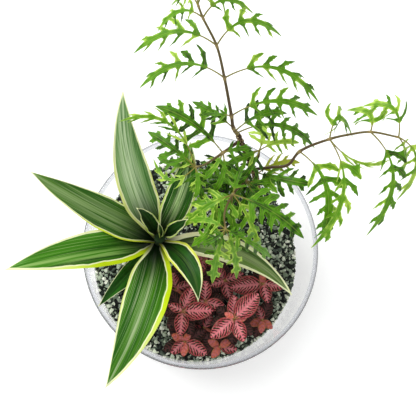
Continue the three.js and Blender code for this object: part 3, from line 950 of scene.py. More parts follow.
@dataclass(frozen=True)
class CutLeafFinish:
    """The colours of the shrub's leaves and thin stems."""

    name: str
    deep: str
    middle: str
    bright: str
    pale: str
    petiole: str = "8f8a3e"
    bark: str = "584430"
    knot: str = "a89560"
    worn: str | None = None

    def material(self) -> bpy.types.Material:
        """Makes the material.

        Returns:
            The material.
        """
        finish = Finish(self.name, 0.42, 0.25)
        tree = finish.tree
        colours = {"Deep": self.deep, "Middle": self.middle, "Bright": self.bright, "Pale": self.pale}
        inputs = {"Vector": tree.place()} | finish.read("tone", "vein", "under") | colours
        lamina = finish.group(lamina_group(), inputs)
        colour = lamina["Color"]
        if self.worn:
            spots = tree.ease(tree.noise(tree.place(), 190.0, 3.0), 0.56, 0.68)
            edge = tree.ease(tree.attribute("vein"), 0.55, 1.0)
            colour = tree.mix(spots * edge, colour, self.worn)
        wood = tree.attribute("wood")
        stem = tree.mix(tree.ease(wood, 0.55, 1.0), self.petiole, self.bark)
        stem = tree.mix(tree.attribute("joint"), stem, self.knot)
        colour = tree.mix(tree.ease(wood, 0.02, 0.45), colour, stem)
        finish.paint(colour)
        finish.emboss(lamina["Height"], 0.12 * MM, 0.6)
        finish.glow_through(colour, 0.2)
        return finish.material


VEIN_SPACING = 3.1
VEIN_SLANT, VEIN_CURVE = 0.6, 0.07


@dataclass(frozen=True)
class NettedFinish:
    """The colours of the nerve plants: pink veins over dark green, and coral young leaves."""

    name: str
    vein: str
    heart: str
    dark: str
    shadow: str
    olive: str
    young: str
    rim: str
    edge: str
    pale: str
    stem: str
    vein_share: float = 0.5

    def material(self) -> bpy.types.Material:
        """Makes the material from each leaf's own flat coordinates.

        Returns:
            The material.
        """
        finish = Finish(self.name, 0.5, 0.2)
        tree, mix, ease = finish.tree, finish.tree.mix, finish.tree.ease
        offset, out = abs(tree.attribute("across")), abs(tree.attribute("right"))
        wander = tree.noise(tree.place(), 330.0, 2.0) - 0.5
        slant = tree.attribute("ahead") - out * (VEIN_SLANT + out * VEIN_CURVE) + wander * 4.4
        turn = tree.math("FRACT", slant * (1 / VEIN_SPACING))
        width = ease(offset, 0.1, 0.85, self.vein_share, 0.24)
        veins = ease(abs(turn - 0.5) * 2.0, width, width + 0.3, 1.0, 0.0)
        pink = tree.math("MAXIMUM", veins, ease(offset, 0.06, 0.22, 1.0, 0.0))
        hem = ease(offset, 0.78, 0.86, 0.0, 0.7) * ease(offset, 0.92, 0.97, 1.0, 0.0)
        pink = tree.math("MAXIMUM", pink * ease(offset, 0.8, 0.95, 1.0, 0.0), hem)
        mottle = tree.noise(tree.place(), 420.0, 3.0)
        glow = mix(ease(offset, 0.1, 0.75), self.heart, self.vein)
        glow = mix(ease(mottle, 0.5, 0.75, 0.0, 0.55), glow, self.pale)
        dark = mix(ease(mottle, 0.4, 0.62), self.dark, self.olive)
        mature = mix(pink, dark, glow)
        mature = mix(ease(offset, 0.93, 0.99, 0.0, 0.7), mature, self.rim)
        fresh = mix(ease(mottle, 0.35, 0.7), self.young, self.heart)
        fresh = mix((1.0 - veins) * 0.22, fresh, self.dark)
        fresh = mix(ease(offset, 0.75, 1.0, 0.0, 0.8), fresh, self.edge)
        colour = mix(tree.attribute("young"), mature, fresh)
        colour = mix(tree.attribute("shade") * 0.9, colour, self.shadow)
        colour = mix(ease(tree.attribute("along"), 0.02, 0.16, 0.7, 0.0), colour, self.edge)
        colour = mix(ease(tree.attribute("wood"), 0.1, 0.6), colour, self.stem)
        finish.paint(colour)
        finish.emboss(1.0 - veins, 0.35 * MM, 0.7)
        finish.glow_through(colour, 0.14)
        return finish.material


def glass_material() -> bpy.types.Material:
    """Makes clear glass that lets light through to what stands in it, with painted shade and reflection on
    its lip and bottom corner.

    Returns:
        The material.
    """
    finish = Finish("Clear glass", 0.02, 0.5)
    tree, shader = finish.tree, finish.shader
    smear = tree.ease(tree.noise(tree.place(), 22.0, 3.0), 0.45, 0.75, 0.01, 0.03)
    tree.feed(shader.inputs["Roughness"], smear)
    rim = tree.attribute("rim")
    facing = tree.add("ShaderNodeLayerWeight", {"Blend": 0.5}, "Facing")
    body = tree.math("ADD", 0.07 + rim * 0.75, tree.ease(facing, 0.8, 1.0, 0.0, 0.4), clamp=True)
    tree.feed(shader.inputs["Alpha"], body)
    # the "rim" value paints the lip and the bottom corner grey-lilac and less clear: painted shade and
    # reflection of the glass edge
    finish.paint(tree.mix(rim, (0.94, 0.96, 0.965, 1.0), (0.22, 0.235, 0.3, 1.0)))
    shader.inputs["Transmission Weight"].default_value = 1.0
    shader.inputs["IOR"].default_value = 1.35
    shadow = tree.add("ShaderNodeLightPath", output="Is Shadow Ray")
    clear = tree.add("ShaderNodeBsdfTransparent", {"Color": (0.9, 0.93, 0.93, 1.0)})
    both = tree.add("ShaderNodeMixShader", {0: shadow, 1: shader.outputs[0], 2: clear})
    tree.feed(finish.output.inputs["Surface"], both)
    return finish.material


# Pieces
class Slot(Enum):
    """The record's material slots."""

    GLASS = "glass"
    DRAINAGE = "drainage_gravel"
    SOIL = "potting_soil"
    GRAVEL = "top_gravel"
    CANE = "dracaena_cane"
    STRAP = "dracaena_leaf"
    BARK = "shrub_bark"
    SHRUB = "shrub_leaf"
    OLD = "shrub_old_leaf"
    NERVE = "nerve_leaf"


def new_piece(name: str, shape: Shape, material: bpy.types.Material, smooth: bool = True) -> bpy.types.Object:
    """Makes an object of a shape.

    Args:
        name: The object's name.
        shape: Its points, faces, edges and values.
        material: Its material.
        smooth: Whether faces are shaded as one curved surface.

    Returns:
        The object, linked into the scene.
    """
    mesh = bpy.data.meshes.new(name)
    mesh.from_pydata(shape.points.tolist(), shape.edges, shape.faces, shade_flat=not smooth)
    for label, numbers in shape.values.items():
        attribute = mesh.attributes.new(label, "FLOAT", "POINT")
        attribute.data.foreach_set("value", np.asarray(numbers, np.float32))
    mesh.materials.append(material)
    mesh.update()
    piece = bpy.data.objects.new(name, mesh)
    bpy.context.scene.collection.objects.link(piece)
    return piece


def hand_over(piece: bpy.types.Object, node: str, slot: Slot, crease: float | None = 48.0) -> None:
    """Fixes a finished piece to the frame in place of its node.

    Args:
        piece: The finished object.
        node: The node that it stands for.
        slot: Not used.
        crease: Edges that fold by more degrees than this stay sharp, or None.
    """
    if crease is not None:
        piece.data.set_sharp_from_angle(angle=math.radians(crease))
    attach(piece, BODY)
    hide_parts(node)
    LOG.info("%s stands for %s with %d faces", piece.name, node, len(piece.data.polygons))


@dataclass
class Bowl:
    """The glass bowl: a straight round wall on a thick flat base, with a rounded rim."""

    radius: float = 0.1
    height: float = 0.15
    wall: float = 0.004
    base: float = 0.008
    corner: float = 0.009
    segments: int = 192

    @property
    def inside(self) -> float:
        """Radius of the hollow."""
        return self.radius - self.wall

    def build(self) -> None:
        """Turns the bowl and dresses it."""
        bend = self.corner - self.wall
        lip = self.wall / 2
        below_lip = self.height - 0.8 * self.wall
        profile = [
            (0.0, 0.0),
            *rounded((self.radius - self.corner, self.corner), self.corner, (-90, 0), 8),
            (self.radius, self.height * 0.4),
            (self.radius, below_lip),
            *rounded((self.radius - lip, self.height - lip), lip, (0, 180), 12),
            (self.inside, below_lip),
            (self.inside, self.height * 0.4),
            *rounded((self.inside - bend, self.base + bend), bend, (0, -90), 6),
            (0.0, self.base),
        ]
        shape = lathe(profile, self.segments)
        radius, height = np.linalg.norm(shape.points[:, :2], axis=1), shape.points[:, 2]
        # painted shade and reflection: the rounded lip is painted grey-lilac, darkest at its outer line
        rim = smoothstep(height, self.height - 0.75 * self.wall, self.height - 0.4 * self.wall)
        rim *= 0.85 + 0.15 * smoothstep(radius, self.radius - 0.5 * self.wall, self.radius - 0.25 * self.wall)
        # painted shade: the glass darkens into its bottom corner
        foot = 0.4 * (1 - smoothstep(height, 0.2 * self.corner, self.corner))
        shape.values["rim"] = np.maximum(rim, foot)
        piece = new_piece("bowl_clear_glass", shape, glass_material())
        hand_over(piece, "glass_bowl", Slot.GLASS, crease=None)


@dataclass(frozen=True)
class StoneLayer:
    """How the stones of one layer lie on its dark core.

    Attributes:
        spacing: Least distance between two stones.
        size: Half a stone's length.
        size_spread: Share by which sizes differ.
        flatness: A stone's height as a share of its length.
        roughen: How far its corners are moved, as a share of its size.
        small_share: Size of the second set of stones as a share of the first.
        facets: How often the stone's ball is divided.
        seed: Seed of every draw.
    """

    spacing: float
    size: float
    size_spread: float
    flatness: float
    roughen: float
    small_share: float
    facets: int
    seed: int

    def cover(self, piece: bpy.types.Object, wall: float, floor: float) -> None:
        """Covers a core with the stones.

        Args:
            piece: The core.
            wall: Radius that no stone passes.
            floor: Height that no stone passes downwards.
        """
        limits = {"Wall": wall, "Floor": floor, "Material": piece.data.materials[0]}
        grow(piece, stone_tree(), labelled(self) | limits)


PEBBLES = StoneLayer(6.2 * MM, 3.4 * MM, 0.22, 0.8, 0.1, 0.6, 2, 3)
CRUMBS = StoneLayer(3.1 * MM, 1.7 * MM, 0.4, 0.75, 0.3, 0.8, 1, 5)
CHIPS = StoneLayer(4.0 * MM, 2.4 * MM, 0.42, 0.68, 0.5, 0.62, 1, 11)
BARK_SCALES = StoneLayer(1.5 * MM, 0.85 * MM, 0.5, 0.8, 0.35, 0.8, 1, 23)

PEBBLE_FINISH = StoneFinish(
    "Drainage pebbles",
    "2a2725",
    ((0.3, "6d6a66"), (0.55, "8e8a83"), (0.75, "a9a59b"), (0.9, "5a5551"), (1.0, "c2beb4")),
    grain=700.0, contrast=0.35,
)
SOIL_FINISH = StoneFinish(
    "Potting soil",
    "140d09",
    ((0.35, "2a1c12"), (0.6, "3a281a"), (0.8, "1e140d"), (0.985, "4a3524"), (1.0, "cfcabd")),
    grain=1800.0, contrast=0.7, roughness=1.0,
)
CHIP_FINISH = StoneFinish(
    "Crushed gravel",
    "090c09",
    (
        (0.22, "1d231d"), (0.34, "424d42"), (0.46, "6d7966"), (0.62, "929f8c"), (0.79, "b6c1aa"),
        (0.92, "d6dcc6"), (1.0, "eff0e0"),
    ),
    grain=1500.0, contrast=0.5, roughness=0.75,
)
BARK_FINISH = StoneFinish(
    "Shrub bark",
    "3b2a1c",
    ((0.3, "6b553c"), (0.55, "8a7250"), (0.75, "a8926a"), (0.9, "3f3022"), (1.0, "c4b28a")),
    grain=1300.0, contrast=0.8, roughness=0.95,
)


@dataclass
class Ground:
    """The three layers in the bowl: drainage pebbles, potting soil and crushed top gravel."""

    bowl: Bowl
    gap: float = 0.3 * MM
    drainage_top: float = 0.024
    soil_top: float = 0.058
    gravel_top: float = 0.07
    inset: float = 1.5 * MM
    soil_inset: float = 0.9 * MM
    sides: int = 72
    rings: int = 13
    peak_least: float = 0.6 * MM
    peak_spread: float = 2.6 * MM
    valley: float = 1.8 * MM
    shift: float = 0.28
    bed_seed: int = 41

    @property
    def reach(self) -> float:
        """Radius of a layer."""
        return self.bowl.inside - self.gap

    def core(self, low: float, high: float, inset: float, bend: float = 0.0) -> Shape:
        """Makes the dark body that the stones of a filled layer cover, painted in the shade of the gaps
        between them.

        Args:
            low: Height of its underside.
            high: Height of its top.
            inset: How far it stays inside the layer's own outline.
            bend: Radius of its lower corner.

        Returns:
            The shape, which starts with the tone of a gap between stones.
        """
        reach = self.reach - inset
        foot = rounded((reach - bend, low + bend), bend, (-90, 0), 4) if bend else [(reach, low)]
        steps = [(reach, low + (high - low) * k / 4) for k in range(1, 4)]
        shape = lathe([(0.0, low), *foot, *steps, (reach, high), (0.0, high)], self.sides)
        radius = np.linalg.norm(shape.points[:, :2], axis=1)
        # tone 0 gives the body the core colour: painted shade between the stones
        shape.values["tone"] = np.zeros(len(shape.points))
        seen_below = bend and shape.points[:, 2] < (low + high) / 2
        shape.values["cover"] = np.where(radius > reach / 2, 0.7, np.where(seen_below, 1.0, 0.0))
        return shape

    def bed(self) -> Shape:
        """Makes the gravel's own core: the solid's hills and hollows, a chip's depth lower.

        Returns:
            The closed shape.
        """
        draw = seeded(self.bed_seed)
        last = self.rings
        index: dict[tuple[int, int], int] = {}
        points: list[Point] = []
        for q in range(-last, last + 1):
            for r in range(-last, last + 1):
                ring = max(abs(q), abs(r), abs(q + r))
                if ring > last:
                    continue
                flat = np.array([q + r / 2, r * math.sqrt(3) / 2])
                if ring:
                    flat *= self.reach * ring / last / np.linalg.norm(flat)
                if ring < last:
                    spread = 2 * self.shift * self.reach / last
                    flat += (np.array([draw(), draw()]) - 0.5) * spread
                peak = (q - r + 3 * last) % 3 == 0
                stone = self.peak_least + self.peak_spread * draw() if peak else -self.valley * draw()
                if ring == last:
                    stone = 0.0
                inner = flat * (1 - self.inset / self.reach)
                index[q, r] = len(points)
                points.append((inner[0], inner[1], self.gravel_top + stone - self.inset))
        faces: list[tuple[int, ...]] = []
        for (q, r), here in index.items():
            after, above, below = (index.get(k) for k in ((q + 1, r), (q, r + 1), (q + 1, r - 1)))
            if after is not None and above is not None:
                faces.append((here, after, above))
            if after is not None and below is not None:
                faces.append((here, below, after))
        rim, spot = [], (last, 0)
        for dq, dr in ((-1, 1), (-1, 0), (0, -1), (1, -1), (1, 0), (0, 1)):
            for _ in range(last):
                rim.append(index[spot])
                spot = (spot[0] + dq, spot[1] + dr)
        floor = self.soil_top + self.gap + self.inset
        low = len(points)
        points += [(points[i][0], points[i][1], floor) for i in rim] + [(0.0, 0.0, floor)]
        middle = len(points) - 1
        for i, top in enumerate(rim):
            after = (i + 1) % len(rim)
            faces.append((top, low + i, low + after, rim[after]))
            faces.append((middle, low + after, low + i))
        cover = np.ones(len(points))
        cover[low:middle] = 0.6
        cover[middle] = -0.4
        # tone 0 gives the bed the core colour: painted shade between the chips
        return Shape(np.array(points), faces, [], {"tone": np.zeros(len(points)), "cover": cover})

    def build(self) -> None:
        """Makes and dresses the three layers."""
        low = self.bowl.base + self.gap
        top = self.drainage_top - self.gap
        body = self.core(low + self.inset, top - self.inset, 2 * self.inset, 2 * self.inset)
        piece = new_piece("drainage_pebbles", body, PEBBLE_FINISH.material(), smooth=False)
        PEBBLES.cover(piece, self.reach, low)
        hand_over(piece, "drainage_gravel", Slot.DRAINAGE, crease=None)

        body = self.core(self.drainage_top, self.soil_top - self.gap, self.soil_inset)
        piece = new_piece("soil_crumbs", body, SOIL_FINISH.material(), smooth=False)
        CRUMBS.cover(piece, self.reach, self.drainage_top)
        hand_over(piece, "potting_soil", Slot.SOIL, crease=None)

        piece = new_piece("gravel_chips", self.bed(), CHIP_FINISH.material(), smooth=False)
        CHIPS.cover(piece, self.reach, self.soil_top + self.gap)
        hand_over(piece, "top_gravel", Slot.GRAVEL, crease=None)


@dataclass(frozen=True)
class StrapLeaf:
    """One long striped leaf of the dracaena.

    Attributes:
        name: What its node is called after "dracaena_leaf_".
        root: Height at which it leaves the cane.
        tip: Place of its tip.
        arch: Height of its middle over the straight line.
        sweep: How far its middle stands to the right.
        width: Full width of the blade.
    """

    name: str
    root: float
    tip: Point
    arch: float
    sweep: float
    width: float
    finish: StripedFinish


CREAM, LIME, YELLOW_LIME = "f1f6b0", "cbe316", "e0f040"
YOUNG = StripedFinish("0b240a", "184212", "3a622e", 0.0, 0.3, 0.4, "c6dc58", 1.2, "d2e67c", 1.2, 0.3)
STRAP_LEAVES = (
    StrapLeaf(
        "north", 0.117, (-0.065, 0.114, 0.225), 0.006, -0.009, 0.03,
        StripedFinish("487a36", "7fa862", "d3e8ba", -0.12, 0.8, 1.0, "e9f094", 2.7, "e9f094", 2.0, 0.9),
    ),
    StrapLeaf(
        "west_high", 0.113, (-0.138, 0.056, 0.195), 0.01, -0.003, 0.028,
        StripedFinish("2a5c12", "56822c", "a0b87e", -0.1, 0.9, 0.6, YELLOW_LIME, 1.8, "dfeb86", 1.2, 0.6),
    ),
    StrapLeaf(
        "west", 0.104, (-0.158, -0.02, 0.178), 0.022, 0.001, 0.031,
        StripedFinish("1f500b", "448716", "a3c870", -0.3, 0.35, 0.75, LIME, 4.4, CREAM, 2.0, 1.0),
    ),
    StrapLeaf(
        "south", 0.108, (-0.079, -0.114, 0.152), 0.026, -0.007, 0.037,
        StripedFinish("235c0a", "46820e", "a9bf8c", 0.05, 0.22, 1.0, LIME, 4.8, "e3ee8c", 2.2, 1.0),
    ),
    StrapLeaf(
        "southwest", 0.09, (-0.085, -0.048, 0.162), 0.006, 0.0, 0.017,
        StripedFinish("17400c", "2c6a1a", "4c7d3c", 0.0, 0.3, 0.3, "d5e3ae", 0.6, "d5e3ae", 0.6, 0.3),
    ),
    StrapLeaf(
        "southeast", 0.127, (-0.003, -0.044, 0.148), 0.014, -0.008, 0.021,
        StripedFinish("103208", "265c12", "5c7f3a", 0.0, 0.4, 0.4, "e8ee5c", 2.6, "e8ee5c", 2.2, 0.7),
    ),
    StrapLeaf(
        "northeast", 0.124, (-0.011, 0.085, 0.182), 0.01, 0.006, 0.025,
        StripedFinish("1a4a0a", "4c9124", "cfeaa6", 0.0, 0.45, 1.0, "d2e67a", 2.0, "cde470", 2.2, 0.7),
    ),
    StrapLeaf(
        "east", 0.097, (0.085, -0.036, 0.1), 0.03, -0.013, 0.023,
        StripedFinish("3a5a1e", "6c8c40", "b4c488", 0.0, 0.5, 0.6, "f4f2c4", 3.8, "f4f2c4", 3.2, 1.2),
    ),
    StrapLeaf("young_west", 0.129, (-0.054, 0.028, 0.19), 0.002, 0.002, 0.013, YOUNG),
    StrapLeaf("young_east", 0.13, (-0.013, 0.021, 0.178), 0.004, 0.0, 0.011, YOUNG),
)


@dataclass
class Dracaena:
    """The dracaena: its cane, the strap leaves round it and the rolled leaf in the middle."""

    x: float = -0.035
    y: float = 0.012
    bottom: float = 0.04
    top: float = 0.132
    radius: float = 6.5 * MM
    tip_radius: float = 4.6 * MM
    gap: float = 0.3 * MM
    thickness: float = 0.6 * MM
    spear_tip: Point = (-0.037, 0.017, 0.186)
    spear_width: float = 0.007
    rows: int = 96
    columns: int = 21
    cane_rows: int = 90
    cane_sides: int = 40
    ring_spacing: float = 4.2 * MM
    ring_depth: float = 0.35 * MM
    sheath_starts: float = 0.046
    sheath_full: float = 0.034
    widest: float = 0.42
    wave_height: float = 1.1 * MM
    wave_count: float = 2.5
    ripple_height: float = 0.35 * MM
    ripple_count: float = 9.0

    def blade(self, rib: Midrib, width: float, phase: float, roll: float = 0.0) -> Shape:
        """Makes one strap leaf: narrow where it clasps the cane, widest before the middle.

        Args:
            rib: The line down its middle.
            width: Its full width.
            phase: Shifts the waves of its margins.
            roll: Degrees by which each half curls up round the midrib at the foot.

        Returns:
            The closed shape with the values across, along and reach.
        """
        s = np.linspace(0, 1, self.rows)
        opening = smoothstep(s, -0.06, 0.3)
        past_widest = np.maximum(0, (s - self.widest) / (1 - self.widest))
        half = width / 2 * (0.28 + 0.72 * opening) * (1 - past_widest**1.45)
        half = np.maximum(half, 0.15 * MM)
        channel = 0.42 * (1 - s) ** 2
        wave = self.wave_height * np.sin(2 * math.pi * self.wave_count * s + phase) * opening
        ripple = self.ripple_height * np.sin(2 * math.pi * self.ripple_count * s + 2.3 * phase)
        ripple = ripple * opening * (1 - s)
        u = np.linspace(-1, 1, self.columns)
        across = np.tile(u, self.rows)
        rows = np.repeat(np.arange(self.rows), self.columns)
        soft = np.sqrt(across**2 + 0.01) - 0.1
        right = across * half[rows]
        rise = channel[rows] * soft * half[rows]
        edge = np.abs(across) ** 3 * np.sign(across)
        rise += wave[rows] * across**2 * np.sign(across) + ripple[rows] * edge
        if roll:
            curl = np.radians(roll) * (1 - 0.65 * s)[rows]
            right = half[rows] * np.sin(across * curl) / curl
            rise = half[rows] * (1 - np.cos(across * curl)) / curl
        sheet = Shape(rib.points(s[rows], right, rise), grid_faces(self.rows, self.columns))
        sheet.values = {"across": across, "along": s[rows], "reach": half[rows] / MM}
        edge_share = np.clip(1.3 - np.abs(across), 0.3, 1.0)
        return sheet.thickened(self.thickness * edge_share)

    def cane(self) -> Shape:
        """Makes the cane with the rings that fallen leaves left on it.

        Returns:
            The closed shape.
        """
        heights = np.linspace(self.bottom, self.top, self.cane_rows)
        share = (heights - self.bottom) / (self.top - self.bottom)
        radii = self.radius + (self.tip_radius - self.radius) * share
        rings = np.abs(((heights / self.ring_spacing) % 1.0) - 0.5) * 2
        radii = radii - self.ring_depth * rings**4
        profile = [(0.0, self.bottom), *zip(radii, heights), (0.0, self.top)]
        shape = lathe(profile, self.cane_sides)
        low, high = self.top - self.sheath_starts, self.top - self.sheath_full
        shape.values["sheath"] = smoothstep(shape.points[:, 2], low, high)
        shape.points[:, 0] += self.x
        shape.points[:, 1] += self.y
        return shape

    def build(self) -> None:
        """Makes and dresses the whole plant."""
        bark = BarkFinish("Cane bark", "9a8a66", "5f5138", "1c3412", grain=700.0)
        piece = new_piece("cane_ringed", self.cane(), bark.material())
        hand_over(piece, "dracaena_cane", Slot.CANE)
        for i, leaf in enumerate(STRAP_LEAVES):
            way = math.atan2(leaf.tip[1] - self.y, leaf.tip[0] - self.x)
            root = beside((self.x, self.y, leaf.root), self.tip_radius, way)
            shape = self.blade(Midrib(root, leaf.tip, leaf.arch, leaf.sweep), leaf.width, 1.3 * i)
            material = leaf.finish.material("Strap leaf " + leaf.name, float(i))
            piece = new_piece("strap_" + leaf.name, shape, material)
            hand_over(piece, "dracaena_leaf_" + leaf.name, Slot.STRAP)
        rib = Midrib((self.x, self.y, self.top + 1.4 * self.gap), self.spear_tip, 0.0, 1.0 * MM)
        shape = self.blade(rib, self.spear_width, 0.0, roll=150.0)
        piece = new_piece("strap_rolled_spear", shape, YOUNG.material("Strap leaf spear", 20.0))
        hand_over(piece, "dracaena_leaf_spear", Slot.STRAP)


@dataclass(frozen=True)
class CutLeaf:
    """One deeply cut leaf of the shrub, which its root, tip, arch and sweep place.

    Attributes:
        size: Reach of its longest lobes.
        hang: How far its left and right halves hang from the rib, in degrees.
        tone: Its green, from 0 for deep to 1 for bright.
    """

    root: Point
    tip: Point
    arch: float
    sweep: float
    size: float
    hang: Pair = (12.0, 12.0)
    tone: float = 0.5

    PETIOLE_SHARE = 0.2
    LOBED_TO = 0.95
    RIB_COLUMNS = 5
    ROWS_BEFORE = 5
    ROWS_PER_PAIR = 12
    TIP_ROWS = 6
    LOBE_ROWS = 16
    LOBE_COLUMNS = 7
    STALK_POINTS = 28
    THICKNESS = 0.4 * MM

    @property
    def length(self) -> float:
        """The straight distance from its root to its tip."""
        return math.dist(self.root, self.tip)

    @property
    def pairs(self) -> int:
        """Number of pairs of lobes, by the leaf's length."""
        return 5 if self.length > 0.066 else 4 if self.length > 0.034 else 3

    @property
    def step(self) -> float:
        """Share of the leaf from one pair of lobes to the next."""
        return (self.LOBED_TO - self.PETIOLE_SHARE) / self.pairs

    @property
    def lush(self) -> float:
        """1 for a flat, broad leaf and 0 for one whose halves hang and look narrow."""
        return 1 - float(smoothstep(max(self.hang), 25.0, 50.0))

    def wing(self, share: np.ndarray) -> np.ndarray:
        """Half the width of the leaf between its lobes.

        Args:
            share: Places along the leaf.

        Returns:
            The half widths.
        """
        step = self.step
        pair = (share - self.PETIOLE_SHARE) / step
        width = 0.5 * MM + self.size * (0.06 * self.lush + 0.15 * smoothstep(pair, -0.4, self.pairs - 1.2))
        begin = smoothstep(share, self.PETIOLE_SHARE - 0.6 * step, self.PETIOLE_SHARE + 0.1 * step)
        return np.maximum(width * begin * np.clip((1 - share) / 0.17, 0, 1) ** 0.75, 0.12 * MM)

    def shape(self, seed: int) -> Shape:
        """Makes the leaf: a winged rib, its lobes, and the round petiole and midrib.

        Args:
            seed: The leaf's own seed, which the solids use as well.

        Returns:
            The shape with blades and loose edges.
        """
        draw = seeded(seed)
        extra = np.random.default_rng(seed)
        rib = Midrib(self.root, self.tip, self.arch, self.sweep)
        step = self.step
        row_step = step / self.ROWS_PER_PAIR
        count = self.ROWS_BEFORE + self.ROWS_PER_PAIR * self.pairs
        s = self.PETIOLE_SHARE + row_step * (np.arange(count) - self.ROWS_BEFORE)
        s = np.concatenate([s, np.linspace(self.LOBED_TO, 1.0, self.TIP_ROWS)])
        u = np.linspace(-1, 1, self.RIB_COLUMNS)
        rows, columns = len(s), len(u)
        wing = self.wing(s)
        share = np.repeat(s, columns)
        right = (wing[:, None] * u).ravel()
        rise = (wing[:, None] * np.abs(u) * 0.2).ravel()
        vein = np.tile(np.abs(u), rows)
        points, veins, tones = [rib.points(share, right, rise)], [vein], [np.full(rows * columns, self.tone)]
        faces = grid_faces(rows, columns)
        total = rows * columns
        v = np.linspace(-1, 1, self.LOBE_COLUMNS)
        for i in range(self.pairs):
            reach = self.size * (1.05 - 0.85 * (i / (self.pairs - 1)) ** 1.5)
            for side in (-1, 1):
                hang = self.hang[1 if side > 0 else 0]
                hanging = float(smoothstep(hang, 20.0, 60.0))
                lobe = reach * (0.8 + 0.4 * draw()) * (0.8 + 0.35 * extra.random())
                forward = 0.7 + 0.3 * draw() + 0.45 * hanging
                forward = 0.25 + forward * (0.4 + 0.6 * reach / self.size)
                heel_row = self.ROWS_BEFORE + self.ROWS_PER_PAIR * i
                edge = columns - 1 if side > 0 else 0
                base = [(heel_row + k) * columns + edge for k in range(self.LOBE_COLUMNS)]
                vein[base] = np.abs(v)
                heel = self.PETIOLE_SHARE + i * step
                blunt = (1 - hanging) * (0.3 + 0.7 * extra.random() if i < 2 else 0.5 * extra.random())
                blunt *= float(smoothstep(self.size, 0.008, 0.013))
                foot = float(self.wing(np.array([heel + 0.3 * step]))[0])
                breadth = self.lush - 0.6 * hanging
                outline = LobeOutline(heel, step, foot + lobe, forward, self.length, blunt, foot, breadth)
                place, rise, right = outline.points(hang, extra, self)
                points.append(rib.points(place, side * right, rise))
                veins.append(np.tile(np.abs(v), self.LOBE_ROWS))
                tones.append(np.full(len(place), self.tone + 0.6 * (extra.random() - 0.5)))
                faces += self.lobe_faces(base, total, side)
                total += self.LOBE_ROWS * self.LOBE_COLUMNS
        sheet = Shape(np.concatenate(points), faces)
        sheet.values = {"vein": np.concatenate(veins), "tone": np.concatenate(tones)}
        line = np.linspace(0, self.LOBED_TO, self.STALK_POINTS)
        sunk = -0.18 * MM * smoothstep(line, 0.15, 0.35)
        stalk = twig(
            rib.points(line, np.zeros(self.STALK_POINTS), sunk),
            0.12 * MM + 0.52 * MM * (1 - line) ** 1.6,
            wood=0.6 * (1 - smoothstep(line, 0.1, 0.34)),
            tone=self.tone + 0.05,
            vein=0.2,
        )
        return joined([sheet.thickened(self.THICKNESS), stalk])

    def lobe_faces(self, base: list[int], first: int, side: int) -> list[tuple[int, ...]]:
        """Joins a lobe's rows to each other and to the leaf's edge.

        Args:
            base: Point numbers on the leaf's edge that the lobe grows from.
            first: Number of the lobe's first own point.
            side: 1 for a lobe on the right, -1 on the left.

        Returns:
            The faces.
        """
        columns = self.LOBE_COLUMNS
        faces = []
        for j in range(self.LOBE_ROWS):
            inner = base if j == 0 else [first + (j - 1) * columns + k for k in range(columns)]
            outer = [first + j * columns + k for k in range(columns)]
            for k in range(columns - 1):
                quad = (inner[k], outer[k], outer[k + 1], inner[k + 1])
                faces.append(quad if side > 0 else quad[::-1])
        return faces


